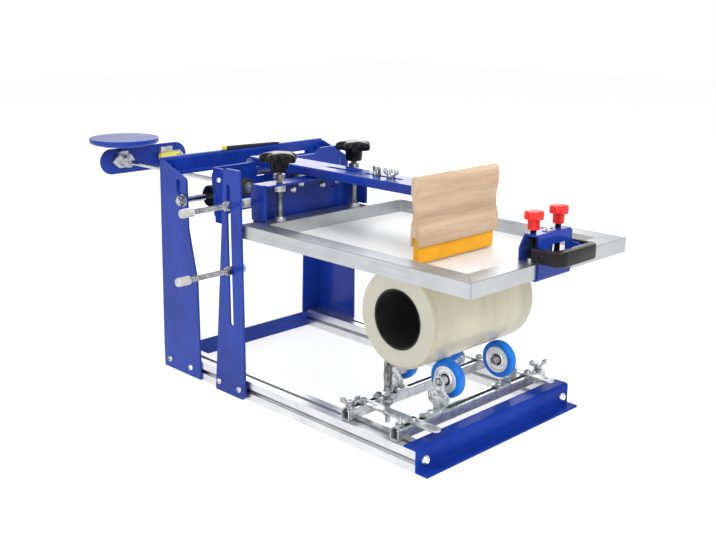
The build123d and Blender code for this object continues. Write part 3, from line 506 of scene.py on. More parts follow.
def slab(shape, outline, centre, low, high, paint, edge=0.4):
    # flat plate with softened edges: the outline's rings shrink at both faces and close at the middle
    span = np.abs(outline).max(0)
    rows = []
    for inset, z in ((None, low), (edge, low), (edge * 0.3, low + edge * 0.3), (0.0, low + edge), (0.0, high - edge),
                     (edge * 0.3, high - edge * 0.3), (edge, high), (None, high)):
        ring = outline * 0 if inset is None else outline * (1 - inset / span)
        rows.append(np.column_stack([ring + np.array(centre), np.full(len(ring), z)]))
    shape.grid(np.stack(rows, 1), paint)


def softened(corners, steps=6):
    # closed outline whose corners (a, b, radius) are drawn as arcs; a corner with no radius stays sharp
    points = []
    for i, (px, py, *r) in enumerate(corners):
        p = np.array([px, py], float)
        u = np.array(corners[i - 1][:2]) - p
        v = np.array(corners[(i + 1) % len(corners)][:2]) - p
        u, v = u / np.linalg.norm(u), v / np.linalg.norm(v)
        if not r:
            points.append(p)
            continue
        half = math.acos(max(-1.0, min(1.0, float(u @ v)))) / 2
        centre = p + (u + v) / np.linalg.norm(u + v) * (r[0] / math.sin(half))
        start, stop = p + u * r[0] / math.tan(half) - centre, p + v * r[0] / math.tan(half) - centre
        span = math.atan2(start[0] * stop[1] - start[1] * stop[0], float(start @ stop))
        for a in np.linspace(0, span, steps):
            c, s = math.cos(a), math.sin(a)
            points.append(centre + [c * start[0] - s * start[1], s * start[0] + c * start[1]])
    return np.array(points)


def disc(a, b, radius):
    # circle as a closed outline
    t = angles(24)
    return np.column_stack([a + radius * np.cos(t), b + radius * np.sin(t)])


def cutPlate(shape, outline, holes, thick, at, across, along, paint, edge=0.35):
    # sheet cut to an outline with holes, edges eased; across and along are the outline's own axes
    curve = bpy.data.curves.new("cut", "CURVE")
    curve.dimensions = "2D"
    curve.fill_mode = "BOTH"
    curve.extrude = thick / 2 - edge
    curve.bevel_depth = edge
    curve.bevel_resolution = 1
    curve.offset = -edge
    for ring in [outline] + holes:
        spline = curve.splines.new("POLY")
        spline.points.add(len(ring) - 1)
        for point, (a, b) in zip(spline.points, ring):
            point.co = (a, b, 0.0, 1.0)
        spline.use_cyclic_u = True
    holder = bpy.data.objects.new("cut", curve)
    made = bpy.data.meshes.new_from_object(holder)
    local = np.array([v.co for v in made.vertices])
    across, along = np.array(across, float), np.array(along, float)
    turned = np.array(at, float) + local @ np.array([across, along, np.cross(across, along)])
    shape.faces(turned, [list(face.vertices) for face in made.polygons], paint)
    bpy.data.objects.remove(holder)
    bpy.data.curves.remove(curve)
    bpy.data.meshes.remove(made)


# In the dictionaries below a head is (radius, height), a washer (radius, bore, height), a nut (across flats, height,
# bore) and a stud (foot's height, radius, length, pitch); all lengths are in millimetres and turns in degrees.

# button bolts of the base, and the two bolts with spacers of the slotted post
baseBolts = {
    # place on the right side, direction there, head radius and height, turn of its socket
    "pairs": [
        ((152, 9, 15), frontward, 6.8, 4.6, 12),
        ((152.4, 563, 15), rearward, 5, 4, 40),
        ((150, 553.6, 328), rearward, 4.2, 3.2, 25),
        ((170.4, 490, 15), rightward, 5, 4, 490),
        ((170.4, 546, 15), rightward, 5, 4, 546),
    ],
    "postY": (362, 411), "postFace": -174, "spacerFace": -171, "boltZ": 15,
    "postHead": (5, 4), "spacer": (6, 3, 3.6),
}
bolts = Shape("base_fasteners")
for side in (-1, 1):
    for (x, y, z), way, radius, high, turn in baseBolts["pairs"]:
        button(bolts, (side * x, y, z), (side * way[0], way[1], way[2]), radius, high, boltSilver, turn)
for y in baseBolts["postY"]:
    button(bolts, (baseBolts["postFace"], y, baseBolts["boltZ"]), leftward, *baseBolts["postHead"], boltSilver, y)
    washer(bolts, (baseBolts["spacerFace"], y, baseBolts["boltZ"]), rightward, *baseBolts["spacer"], zinc)
bolts.done("base", ["base_bolts"])

# cradle bolts: link bolts, two studs with nuts, and the plates in the rails' slots
cradleBolts = {
    "linkBolts": ((-126, 54), (126, 54), (-126, 146), (126, 146), (-97, 146)),
    "studs": ((-152.4, 54), (152.4, 146)),
    "railX": 152.4, "strutY": (54, 146),
    "slotPlate": (26.4, 27.9), "plateHalf": (5.4, 6), "strutTop": 45.1, "linkTop": 48.1,
    "linkWasher": (6.2, 2.9, 0.9), "linkHead": (5, 3.4),
    "stud": (24, 2.9, 37, 1), "studWasher": (6.6, 2.8, 0.9), "nut": (11, 5, 2.8), "nutTurn": 17,
}
cradle = Shape("cradle_fasteners")
for x, y in cradleBolts["linkBolts"]:
    z = cradleBolts["linkTop"]
    washer(cradle, (x, y, z), upward, *cradleBolts["linkWasher"], zinc)
    button(cradle, (x, y, z + cradleBolts["linkWasher"][2]), upward, *cradleBolts["linkHead"], castZinc, x + y)
for y in cradleBolts["strutY"]:
    for side in (-1, 1):
        slab(cradle, roundRect(*cradleBolts["plateHalf"], 1), (side * cradleBolts["railX"], y),
             *cradleBolts["slotPlate"], zinc)
for x, y in cradleBolts["studs"]:
    z = cradleBolts["strutTop"]
    stud(cradle, x, y, cradleBolts["stud"], zinc, 20)
    washer(cradle, (x, y, z), upward, *cradleBolts["studWasher"], zinc)
    nut(cradle, (x, y, z + cradleBolts["studWasher"][2]), upward, *cradleBolts["nut"], castZinc, cradleBolts["nutTurn"])
cradle.done("cradle", ["cradle_bolts"])

# stop rods: threaded stud, a nut either side of the slotted plate, soft caps
stopRods = {
    "y": 377, "radius": 4, "pitch": 1.25,
    "rods": {"stop_upper": (294, -258.5, -129), "stop_lower": (197, -269, -147)},  # height, both tips
    "nutX": (-180.6, -170.9), "nut": (12.8, 6.5, 3.7), "capRadius": 6.6, "capLengths": (22, 19.8), "tipInCap": 2,
}


def capRows(length, radius):
    # profile of a soft cap: domed tip, straight side, open end
    return [(0, 0), (2.6, 0.15), (4.4, 0.7), (5.7, 1.7), (6.4, 3.2), (radius, 5), (radius, length - 1),
            (6.3, length - 0.3), (5.7, length), (3.8, length)]


for name, (z, left, right) in stopRods["rods"].items():
    rod = Shape(name + "_rod")
    y, inCap = stopRods["y"], stopRods["tipInCap"]
    length = right - left - 2 * inCap
    thread(rod, (left + inCap, y, z), rightward, stopRods["radius"], length, stopRods["pitch"], studSteel)
    for x in stopRods["nutX"]:
        nut(rod, (x, y, z), rightward, *stopRods["nut"], castZinc, x)
    for tip, way, length in zip((left, right), (rightward, leftward), stopRods["capLengths"]):
        rod.grid(ringed(capRows(length, stopRods["capRadius"]), (tip, y, z), way, 40), softVinyl)
    rod.done(name, [name])

# pivot shaft with a washer and nut outside each post
shaft = {"end": 182, "y": 493, "z": 285, "radius": 5, "chamfer": 0.8, "washerX": 170.9, "nutX": 172.5,
         "washer": (9.4, 5, 1.5), "nut": (14.5, 6.8, 5), "nutTurn": 20}
pivot = Shape("pivot_axle")
y, z, radius, cut = (shaft[key] for key in ("y", "z", "radius", "chamfer"))
length = 2 * shaft["end"]
rows = [(0, 0), (radius - cut, 0), (radius, cut), (radius, length - cut), (radius - cut, length), (0, length)]
pivot.grid(ringed(rows, (-shaft["end"], y, z), rightward), rodSteel)
for side, way in ((-1, leftward), (1, rightward)):
    washer(pivot, (side * shaft["washerX"], y, z), way, *shaft["washer"], zinc)
    nut(pivot, (side * shaft["nutX"], y, z), way, *shaft["nut"], castZinc, shaft["nutTurn"])
pivot.done("head", ["pivot_shaft"])


def starKnob(shape, at, knob, rows, paint, around=120):
    # rows are (share of the lobed radius, how lobed it is, height); a signed power of the cosine
    # makes lobes with broad ends and narrower scoops between them
    outer, inner = knob["outer"], knob["inner"]
    wave = np.cos(knob["lobes"] * angles(around))
    lobe = (outer + inner) / 2 + (outer - inner) / 2 * np.sign(wave) * np.abs(wave) ** 0.75
    grid = [(share * (lobed * lobe + (1 - lobed) * outer), z) for share, lobed, z in rows]
    shape.grid(ringed(grid, at, upward, around, knob["turn"]), paint)


# clamp screws: five-lobed black head, set a little higher on its hub than the solid, stud and lock nut
clamp = {
    "y": 343, "knobZ": 341, "screws": {"l": (-106, 1.5), "r": (46, 4)},  # x, lift of the head
    "lobes": 5, "outer": 29, "inner": 21.5, "turn": 63, "hubTop": 10,
    "stud": (272.6, 5, 69, 1.5), "nutZ": 330.1, "nut": (16.2, 7, 4.6), "nutTurn": 11,
    "rows": [(0, 0, 27), (0.25, 0.2, 26.9), (0.5, 0.5, 26.4), (0.72, 0.8, 25.4), (0.86, 1, 24),
             (0.95, 1, 22.2), (0.99, 1, 20.4), (1, 1, 18.4), (0.995, 1, 15.4), (0.97, 1, 13.8),
             (0.92, 1, 13), (0.60, 0.5, 12.6), (0.50, 0, 12), (0.465, 0, 10.6), (0.455, 0, 6),
             (0.425, 0, 1.2), (0.40, 0, 0), (0.16, 0, 0)],
}
for tag, (x, lift) in clamp["screws"].items():
    screw = Shape("clamp_screw_" + tag)
    y = clamp["y"]
    rows = [(share, lobed, z + lift * min(1, z / clamp["hubTop"])) for share, lobed, z in clamp["rows"]]
    starKnob(screw, (x, y, clamp["knobZ"]), clamp, rows, knobBlack)
    stud(screw, x, y, clamp["stud"], studSteel, 28)
    nut(screw, (x, y, clamp["nutZ"]), upward, *clamp["nut"], castZinc, clamp["nutTurn"])
    screw.done("clamp_turn_" + tag, ["star_knob_" + tag])

# grip screws: eight shallow lobes on a plain skirt, black stud
grip = {
    "y": -56, "knobZ": 309.5, "screws": {"l": -33.5, "r": 20}, "lobes": 8, "outer": 12.8, "inner": 11.5, "turn": 10,
    "stud": (271.6, 4, 39, 1.25),
    "rows": [(0, 0, 24), (0.45, 0.3, 23.9), (0.80, 0.9, 23.6), (0.93, 1, 23), (1, 1, 21.9), (1, 1, 15),
             (0.97, 1, 13.8), (0.88, 1, 13.1), (0.64, 0.2, 12.8), (0.60, 0, 12), (0.585, 0, 2), (0.55, 0, 0.3),
             (0.50, 0, 0), (0.28, 0, 0)],
}
for tag, x in grip["screws"].items():
    screw = Shape("grip_screw_" + tag)
    starKnob(screw, (x, grip["y"], grip["knobZ"]), grip, grip["rows"], redPlastic)
    stud(screw, x, grip["y"], grip["stud"], blackStud)
    screw.done("grip_turn_" + tag, ["grip_knob_" + tag])

# half width and half thickness of a cast wing from its root to its tip
wingForm = {
    "wide": np.array([0, 2.5, 2.4, 2.4, 2.7, 3.3, 3.9, 4.2, 4.1, 3.3, 2, 0]),
    "thick": np.array([0, 1.6, 1.5, 1.35, 1.25, 1.2, 1.2, 1.15, 1.1, 0.95, 0.6, 0]),
    "root": (3, 2.6), "tipInset": 4.2, "topInset": 4, "rise": 1.25,
}


def wings(shape, at, turn, form, paint):
    # two ears: an ellipse swept out and up along t, height growing with t to the power of the rise
    t = np.linspace(0, 1, len(wingForm["wide"]))
    rootOut, rootUp = wingForm["root"]
    out = rootOut + (form["span"] / 2 - wingForm["tipInset"]) * t
    rise = rootUp + (form["high"] - wingForm["topInset"]) * t ** wingForm["rise"]
    along = np.gradient(np.stack([out, rise], -1), axis=0)
    along /= np.linalg.norm(along, axis=1)[:, None]
    a = angles(18)
    for sign in (-1, 1):
        ring = np.empty((18, len(t), 3))
        ring[..., 0] = np.outer(np.sin(a), wingForm["thick"])
        ring[..., 1] = sign * (out + np.outer(np.cos(a), wingForm["wide"]) * -along[:, 1])
        ring[..., 2] = rise + np.outer(np.cos(a), wingForm["wide"]) * along[:, 0]
        shape.grid(put(ring, at, upward, turn), paint)


def wingBoss(shape, at, high, bore, paint):
    # hub that narrows upwards
    top = high * 0.58
    rows = [(bore, 0), (6.2, 0), (6.4, 0.5), (6, high * 0.3), (5.2, high * 0.52), (4.6, top), (bore, top)]
    shape.grid(ringed(rows, at, around=40), paint, tube=True)


# wing nuts on the squeegee studs
wingNuts = {"x": -20, "y": (201, 229), "z": 339.6, "turn": (12, -18), "span": 26, "high": 14.5,
            "bossHigh": 13, "bore": 3.1}
for i, (y, turn) in enumerate(zip(wingNuts["y"], wingNuts["turn"])):
    name = "wing_nut_%d" % (i + 1)
    at = (wingNuts["x"], y, wingNuts["z"])
    cast = Shape("wing_nut_cast_%d" % (i + 1))
    wingBoss(cast, at, wingNuts["bossHigh"], wingNuts["bore"], castZinc)
    wings(cast, at, turn, wingNuts, castZinc)
    cast.done(name, [name])

# wing screws of the cradle
wingScrews = {
    "places": {"wing_screw_rear": (-152.4, 146), "wing_screw_front": (152.4, 54)},
    "washerZ": 45.2, "washer": (6.5, 2.9, 1.4), "stud": (24, 3, 31, 1), "bossZ": 46.7, "bossHigh": 16, "bore": 2.6,
    "wingZ": 48.4, "turn": 60, "span": 30, "high": 15,
}
for name, (x, y) in wingScrews["places"].items():
    cast = Shape(name + "_cast")
    washer(cast, (x, y, wingScrews["washerZ"]), upward, *wingScrews["washer"], zinc)
    stud(cast, x, y, wingScrews["stud"], zinc, 20)
    wingBoss(cast, (x, y, wingScrews["bossZ"]), wingScrews["bossHigh"], wingScrews["bore"], castZinc)
    wings(cast, (x, y, wingScrews["wingZ"]), wingScrews["turn"], wingScrews, castZinc)
    cast.done(name, [name])

# wheels: rounded tyre with a groove near each rim, silver disc with stepped rings and a ball race
wheelForm = {
    "places": {"fl": (-57, 54), "fr": (55.5, 54), "rl": (-49, 146), "rr": (51, 146)}, "z": 88,
    # (radius, distance from the wheel's middle)
    "tyreHalf": [(19, 0), (19, 5.6), (19.3, 6.2), (20.6, 6.5), (22.6, 6.5), (23, 6.15), (23.4, 6.45),
                 (24.6, 6.2), (25.8, 5.5), (26.5, 4.6), (26.9, 3.2), (27, 1.6), (27, 0)],
    "discHalf": [(4.1, 0), (4.1, 7.5), (5.6, 7.5), (5.9, 7.2), (6, 6.5), (8.6, 6.5), (8.8, 6.9), (10.2, 6.9),
                 (10.6, 6.5), (11, 5.4), (12.4, 4.9), (15.4, 4.9), (16, 5.4), (16.6, 6.5), (17, 6.8),
                 (18.4, 6.8), (18.9, 6.5), (18.95, 5.5), (18.95, 0)],
    "race": [(6.1, 6.55), (8.5, 6.55), (8.5, 6.75), (6.1, 6.75)],
    "rivets": 6, "rivetRing": 13.9, "rivetFace": 4.7,
    "rivetRows": [(0, 0), (1.3, 0), (1.2, 0.5), (0.7, 0.85), (0, 1)],
}


def mirrored(half):
    # the half profile, then the same back on the other side
    return half + [(r, -h) for r, h in half[-2:0:-1]]


for tag, (x, y) in wheelForm["places"].items():
    wheel = Shape("wheel_turned_" + tag)
    centre = (x, y, wheelForm["z"])
    wheel.grid(ringed(mirrored(wheelForm["tyreHalf"]), centre, rightward, 72), blueTyre, tube=True)
    wheel.grid(ringed(mirrored(wheelForm["discHalf"]), centre, rightward, 64), wheelSilver, tube=True)
    for side, way in ((-1, leftward), (1, rightward)):
        race = [(r, side * h) for r, h in wheelForm["race"]]
        wheel.grid(ringed(race, centre, rightward), blackStud, tube=True)
        for k in range(wheelForm["rivets"]):
            a = tau * (k + 0.5) / wheelForm["rivets"]
            at = (x + side * wheelForm["rivetFace"], y + wheelForm["rivetRing"] * math.cos(a),
                  wheelForm["z"] + wheelForm["rivetRing"] * math.sin(a))
            wheel.grid(ringed(wheelForm["rivetRows"], at, way, 16), wheelSilver)
    wheel.done("wheel_" + tag, ["wheel_" + tag])

# wheel brackets: holed fan-shaped cheek, foot with its bolt, axle with washers and lock nut;
# the front left foot turns outward, the others turn in under the wheel to clear the links and the post
caster = {
    "cheekOut": 18.5, "sheet": 2.6, "axleZ": 88, "footZ": 46.6,
    # (distance from the axle's line, height, corner radius) up one edge of the cheek
    "cheekHalf": [(8.5, 45.3), (8.5, 53, 4), (17.5, 58, 3.5), (19, 70, 3.5), (9.8, 79, 5), (9.8, 97.6, 9.6)],
    # (along, up from the axle, radius)
    "cheekHoles": [(0, 0, 4), (-12, -20, 2.4), (12, -20, 2.4), (0, -31, 2), (0, -15, 2)],
    "outwardFoot": 33, "outwardBolt": 15.7, "inwardFoot": 26.8, "footHalf": 8.5, "footRound": 4, "footHole": 2.8,
    "tongueHalf": (8, 3.2), "tongueIn": 8, "tongueZ": (42.7, 45.2),
    "footWasher": (5.8, 2.6, 0.8), "footHead": (4.6, 3.2),
    "axleHead": (6, 3), "spacer": (6.6, 4, 8.6), "lockNut": (12.4, 4.2, 3.9),
    "axleOut": 2.4, "spacerIn": 1.4, "lockNutIn": 8.3,  # from the cheek's middle, and the nut from the wheel's
    "axleRows": [(0, 0), (3.4, 0), (4, 0.6), (4, 31), (3.4, 31.6), (0, 31.6)],
}
sheetHalf = caster["sheet"] / 2
axleZ, footHalf = caster["axleZ"], caster["footHalf"]
cheekEdge = [(a, b - axleZ, *r) for a, b, *r in caster["cheekHalf"]]
cheekOutline = softened(cheekEdge + [(-a, b, *r) for a, b, *r in cheekEdge[::-1]])
for tag, (x, y) in wheelForm["places"].items():
    out = -1 if tag[1] == "l" else 1
    cheek = x + out * caster["cheekOut"]
    bracket = Shape("bracket_cut_" + tag)
    cutPlate(bracket, cheekOutline, [disc(*hole) for hole in caster["cheekHoles"]], caster["sheet"],
             (cheek, y, axleZ), rearward, upward, zinc)
    if tag == "fl":
        way, length, boltX = out, caster["outwardFoot"], cheek + out * caster["outwardBolt"]
    else:
        way, length, boltX = -out, caster["inwardFoot"], x
    corner = caster["footRound"]
    foot = softened([(0, -footHalf), (length, -footHalf, corner), (length, footHalf, corner), (0, footHalf)])
    cutPlate(bracket, foot, [disc(abs(boltX - cheek), 0, caster["footHole"])], caster["sheet"],
             (cheek - way * sheetHalf, y, caster["footZ"]), (way, 0, 0), rearward, zinc)
    # tongue in the slot, bolt through the foot, then the axle from its head to its lock nut
    slab(bracket, roundRect(*caster["tongueHalf"], 0.8), (x + out * caster["tongueIn"], y),
         *caster["tongueZ"], zinc)
    footTop = caster["footZ"] + sheetHalf
    washer(bracket, (boltX, y, footTop), upward, *caster["footWasher"], zinc)
    button(bracket, (boltX, y, footTop + caster["footWasher"][2]), upward, *caster["footHead"], zinc, x)
    outside, inside = (out, 0, 0), (-out, 0, 0)
    bracket.grid(ringed(caster["axleRows"], (cheek + out * caster["axleOut"], y, axleZ), inside), zinc)
    button(bracket, (cheek + out * sheetHalf, y, axleZ), outside, *caster["axleHead"], castZinc, 8)
    washer(bracket, (cheek - out * caster["spacerIn"], y, axleZ), inside, *caster["spacer"], zinc)
    nut(bracket, (x - out * caster["lockNutIn"], y, axleZ), inside, *caster["lockNut"], castZinc, 22)
    bracket.done("bracket_" + tag, ["bracket_" + tag])

# side links: flat bars with round ends that reach past the front strut
sideLink = {"x": 126, "z": 46.6, "half": 7.9, "corner": 7.8, "y": (8, 160), "holesY": (54, 146, 20), "hole": 3,
            "thick": 3}
half, corner, (front, rear) = sideLink["half"], sideLink["corner"], sideLink["y"]
bar = softened([(-half, front, corner), (half, front, corner), (half, rear, corner), (-half, rear, corner)])
links = Shape("side_links_cut")
for side in (-1, 1):
    cutPlate(links, bar, [disc(0, y, sideLink["hole"]) for y in sideLink["holesY"]], sideLink["thick"],
             (side * sideLink["x"], 0, sideLink["z"]), rightward, rearward, zinc)
links.done("cradle", ["side_links"])

# end post: tab on the rear strut, thin stem, threaded sleeve with a cap above, nuts on the stem
endPost = {
    "x": -97, "y": 128, "tabY": 136.5, "tab": (45.1, 48.1), "capZ": 102, "washerZ": 59.9, "nutZ": (40.1, 48.1, 25),
    "tabHalf": (8, 16.5, 7.5), "stem": (13, 3.6, 49, 1.2), "sleeve": (61.5, 6, 41, 1.6),
    "washer": (7.4, 3.4, 1.5), "nut": (12.5, 5, 3.3),
    "capRows": [(0, 0), (5.2, 0), (5.6, 0.5), (5.6, 3.8), (5, 4.6), (3.6, 4.8), (3.3, 4), (0, 3.6)],
}
post = Shape("end_post_turned")
x, y = endPost["x"], endPost["y"]
slab(post, roundRect(*endPost["tabHalf"], 8), (x, endPost["tabY"]), *endPost["tab"], zinc)
stud(post, x, y, endPost["stem"], zinc)
stud(post, x, y, endPost["sleeve"], postSteel, 32)
post.grid(ringed(endPost["capRows"], (x, y, endPost["capZ"]), upward), postSteel)
washer(post, (x, y, endPost["washerZ"]), upward, *endPost["washer"], zinc)
for z in endPost["nutZ"]:
    nut(post, (x, y, z), upward, *endPost["nut"], castZinc, z)
post.done("cradle", ["end_post"])

# roll: softly rounded rims, ends with shallow rings left by the wound layers, a slight swell between
rollForm = {
    "ends": (-111, 101), "radius": 69, "bore": 42.2, "flatTo": 62, "rim": 6, "ringDepth": 0.14, "rings": 23,
    "swell": 0.06, "waves": (0.21, 0.067), "body": (-103, 93, 60),  # body: first and last x, number of rows
}
endRings = [(r, rollForm["ringDepth"] * (i % 2))
            for i, r in enumerate(np.linspace(rollForm["bore"], rollForm["flatTo"], rollForm["rings"]))]
rim = [(rollForm["radius"] - rollForm["rim"] * (1 - math.sin(a)), rollForm["rim"] * (1 - math.cos(a)))
       for a in np.linspace(0, quarter, 9)]
leftEnd, rightEnd = rollForm["ends"]
near = [(r, leftEnd + h) for r, h in endRings + rim]
fast, slow = rollForm["waves"]
body = [(rollForm["radius"] - rollForm["swell"] * (1 + math.sin(x * fast) * math.sin(x * slow)), x)
        for x in np.linspace(*rollForm["body"])]
far = [(r, rightEnd - h) for r, h in (endRings + rim)[::-1]]
roll = Shape("roll_wound")
rollCentre = tuple(c / mm for c in film["centre"])
roll.grid(ringed(near + body + far, rollCentre, rightward, 128), rollFilm, tube=True)
roll.done("roll", ["roll_shell"], crease=50)

# pull handle: level loop with swept corners, thicker across the front
pullHandle = {"left": -49.5, "right": 37.5, "front": -110, "z": 280.5, "corner": 15, "halfHigh": 9.5, "round": 2.6,
              "halfArm": 4.2, "halfFront": 7.6, "armY": (-66, -72, -80, -88)}

# rows of the loop's outer edge: x, y and the outward direction there
left, right, corner = (pullHandle[key] for key in ("left", "right", "corner"))
loop = [(left, y, -1, 0) for y in pullHandle["armY"]]
for cx, start in ((left + corner, 180), (right - corner, 270)):
    for step in np.linspace(0, 90, 9):
        a = math.radians(start + step)
        cy = pullHandle["front"] + corner
        loop.append((cx + corner * math.cos(a), cy + corner * math.sin(a), math.cos(a), math.sin(a)))
loop += [(right, y, 1, 0) for y in pullHandle["armY"][::-1]]
loop = np.array(loop)
atFront = np.clip(-loop[:, 3], 0, 1)
wide = pullHandle["halfArm"] + (pullHandle["halfFront"] - pullHandle["halfArm"]) * atFront
path = np.column_stack([loop[:, :2] - loop[:, 2:] * wide[:, None], np.full(len(loop), pullHandle["z"])])
# rounded-rectangle sections set across the path, closed on a point at both ends
sections = []
for p, outward, w in zip(path, loop[:, 2:], wide):
    ring = roundRect(w, pullHandle["halfHigh"], pullHandle["round"], 5)
    sections.append(p + ring[:, :1] * np.array([*outward, 0]) + ring[:, 1:] * np.array(upward, float))
sections = np.stack(sections, 1)
ends = [np.broadcast_to(end.mean(0, keepdims=True), end.shape) for end in (sections[:, :1], sections[:, -1:])]
handle = Shape("pull_handle_swept")
handle.grid(np.concatenate([ends[0], sections, ends[1]], 1), blackPlastic)
handle.done("frame", ["pull_handle"])

handleBolts = {"y": -81, "z": 280.5, "x": (-49.3, 37.3), "headOut": 0.6, "washer": (5, 2, 0.7), "head": (4.2, 2.4)}
grips = Shape("handle_bolts")
for side, x in zip((-1, 1), handleBolts["x"]):
    y, z, way = handleBolts["y"], handleBolts["z"], (side, 0, 0)
    washer(grips, (x, y, z), way, *handleBolts["washer"], blackStud)
    button(grips, (x + side * handleBolts["headOut"], y, z), way, *handleBolts["head"], blackStud, 15)
grips.done("frame", ["handle_screws"])

# small bright plate between the grip screws, with two dark rivets
gripPlate = {"x": -6.5, "y": -60.5, "low": 305, "high": 306.4, "half": (9, 4.6), "rivetX": (-11.5, -1.5),
             "rivetRows": [(0, 0), (1.9, 0), (1.8, 0.7), (1, 1.1), (0, 1.2)]}
plate = Shape("grip_plate")
slab(plate, roundRect(*gripPlate["half"], 1.2), (gripPlate["x"], gripPlate["y"]), gripPlate["low"], gripPlate["high"],
     wheelSilver)
for x in gripPlate["rivetX"]:
    plate.grid(ringed(gripPlate["rivetRows"], (x, gripPlate["y"], gripPlate["high"]), upward, 20), blackStud)
plate.done("frame")

# dark strip lying on the beam's top flange, thicker at its left end, with a pale end cap
beamStrip = {
    "y": 552, "flange": 343.6, "halfWide": 3.6,
    "heights": [(-43, 5.6), (-20, 5), (20, 4), (60, 3), (69, 2.4)],  # x, thickness there
    "cap": [(-48.5, 0), (-48.5, 0.75), (-47.6, 1), (-43.4, 1), (-43, 0.9), (-43, 0)],  # x, share of the section
    "capMiddle": 347, "capHalf": (4, 3.4),
}


def crossSections(rows, y):
    # outlines across X: rows are (x, closed outline, height of its middle)
    return np.stack([np.column_stack([np.full(len(ring), float(x)), y + ring[:, 0], z + ring[:, 1]])
                     for x, ring, z in rows], 1)


strip = Shape("beam_strip")
rows = [(x, roundRect(beamStrip["halfWide"], high / 2, min(1, high / 2.5), 4), beamStrip["flange"] + high / 2)
        for x, high in beamStrip["heights"]]
# both ends close on a point at the usual height
endPoint = (rows[0][1] * 0, beamStrip["flange"] + 2)
rows = [(rows[0][0], *endPoint), *rows, (rows[-1][0], *endPoint)]
strip.grid(crossSections(rows, beamStrip["y"]), padRubber)
capRing = roundRect(*beamStrip["capHalf"], 1.6, 4)
rows = [(x, capRing * share, beamStrip["capMiddle"]) for x, share in beamStrip["cap"]]
strip.grid(crossSections(rows, beamStrip["y"]), yellowPlastic)
strip.done("base")

# round weight: turned disc, its underside bevelled in towards the stem
roundWeight = {
    "at": (-84, 792, 331),
    "rows": [(5, 0), (44, 0), (46, 0), (52, 0.8), (57, 2.6), (59.4, 4.4), (60.3, 6), (60.5, 7.6), (60.5, 11),
             (60.2, 11.7), (59.5, 12), (58.5, 12), (5, 12)],
}
weight = Shape("weight_turned")
weight.grid(ringed(roundWeight["rows"], roundWeight["at"], upward, 120), coatBlue, tube=True)
weight.done("screen_slide", ["counterweight"])

# screw on the head plate's folded end
headScrew = {"at": (-134, 450.5, 317), "head": (4.2, 2.8), "turn": 20}
screw = Shape("head_screw")
button(screw, headScrew["at"], leftward, *headScrew["head"], wheelSilver, headScrew["turn"])
screw.done("head")
print("stage: finer pieces made")

# soft boxes: place, what each is turned to, size, power
studio = {
    "key": ((-0.5, -1.9, 2.1), (0, 0.2, 0.15), (1.6, 1.2), 42),
    "fill": ((-2.4, 0.6, 1.2), (0, 0.2, 0.15), (1.8, 1.6), 14),
    "top": ((0.1, 0.4, 2.6), (0, 0.2, 0.15), (2, 2), 28),
    "back": ((1.9, 2, 1.3), (0, 0.3, 0.2), (1.4, 1.2), 12),
}
for name, (at, aim, size, power) in studio.items():
    lamp = bpy.data.lights.new(name, "AREA")
    lamp.shape = "RECTANGLE"
    lamp.size, lamp.size_y = size
    lamp.energy = power
    made = bpy.data.objects.new(name, lamp)
    scene.collection.objects.link(made)
    made.location = at
    made.rotation_euler = (Vector(aim) - Vector(at)).to_track_quat("-Z", "Y").to_euler()

# studio surround: plain white to look at, dimmer overhead in what lights the object
surround = {"From Min": 0.30, "From Max": 0.85, "To Min": 1.00, "To Max": 0.30}
world = bpy.data.worlds.new("studioAir")
scene.world = world
world.use_nodes = True
air = world.node_tree
air.nodes.clear()
aim, apart, climb, tint, ray, seen, lit, mixed, out = (
    air.nodes.new("ShaderNode" + kind) for kind in
    ("TexCoord", "SeparateXYZ", "MapRange", "CombineColor", "LightPath", "Background", "Background", "MixShader",
     "OutputWorld"))
for key, value in surround.items():
    climb.inputs[key].default_value = value
seen.inputs[0].default_value = (1, 1, 1, 1)
wires = [(aim.outputs[0], apart.inputs[0]), (apart.outputs[2], climb.inputs["Value"])]
wires += [(climb.outputs[0], tint.inputs[i]) for i in range(3)]
wires += [(tint.outputs[0], lit.inputs[0]), (ray.outputs[0], mixed.inputs[0]), (lit.outputs[0], mixed.inputs[1]),
          (seen.outputs[0], mixed.inputs[2]), (mixed.outputs[0], out.inputs[0])]
for source, target in wires:
    air.links.new(source, target)

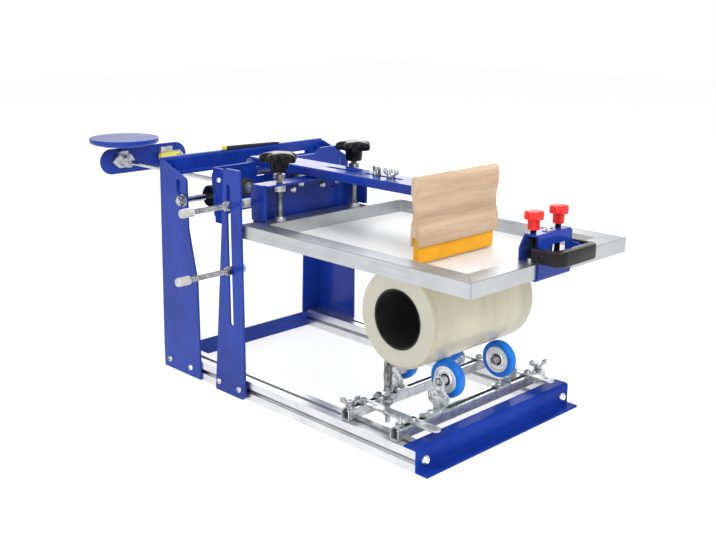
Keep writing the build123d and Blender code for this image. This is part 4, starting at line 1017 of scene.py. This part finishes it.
# pale floor, a hair below the feet
paleFloor = {"half": 6, "z": -0.0002, "colour": (0.42, 0.42, 0.42), "glow": 0.70}
floorPaint = Coat("paleFloor", Base_Color=paleFloor["colour"], Roughness=0.80, Emission_Color=(1, 1, 1),
                  Emission_Strength=paleFloor["glow"])
side = np.linspace(-paleFloor["half"], paleFloor["half"], 3)
gx, gy = np.meshgrid(side, side, indexing="ij")
ids = np.arange(gx.size).reshape(gx.shape)
floorQuads = np.stack([ids[:-1, :-1], ids[1:, :-1], ids[1:, 1:], ids[:-1, 1:]], -1).reshape(-1, 4)
floorPoints = np.stack([gx, gy, np.full_like(gx, paleFloor["z"])], -1).reshape(-1, 3)
floorData = bpy.data.meshes.new("floor")
floorData.from_pydata(floorPoints.tolist(), [], floorQuads.tolist())
floorData.materials.append(floorPaint.mat)
floor = bpy.data.objects.new("floor", floorData)
scene.collection.objects.link(floor)

# camera where the photograph was taken from; angles in degrees, focal length in pixels of its width
eye = {"at": (-1.0503, -0.7730, 0.5877), "yaw": 44.76, "pitch": 15.15, "roll": 0.36, "focal": 1012.6, "width": 716,
       "sensor": 36, "near": 0.05, "far": 50}
yaw, pitch, tilt = (math.radians(eye[key]) for key in ("yaw", "pitch", "roll"))
ahead = Vector((math.sin(yaw) * math.cos(pitch), math.cos(yaw) * math.cos(pitch), -math.sin(pitch)))
level = Vector((math.cos(yaw), -math.sin(yaw), 0))
above = level.cross(ahead)
level, above = level * math.cos(tilt) + above * math.sin(tilt), above * math.cos(tilt) - level * math.sin(tilt)
lens = bpy.data.cameras.new("studioCamera")
lens.sensor_width = eye["sensor"]
lens.lens = eye["focal"] / eye["width"] * eye["sensor"]
lens.clip_start, lens.clip_end = eye["near"], eye["far"]
camera = bpy.data.objects.new("studioCamera", lens)
scene.collection.objects.link(camera)
camera.matrix_world = Matrix.Translation(eye["at"]) @ Matrix((level, above, -ahead)).transposed().to_4x4()
scene.camera = camera
scene.view_settings.view_transform = "Standard"
print("stage: light and camera set")
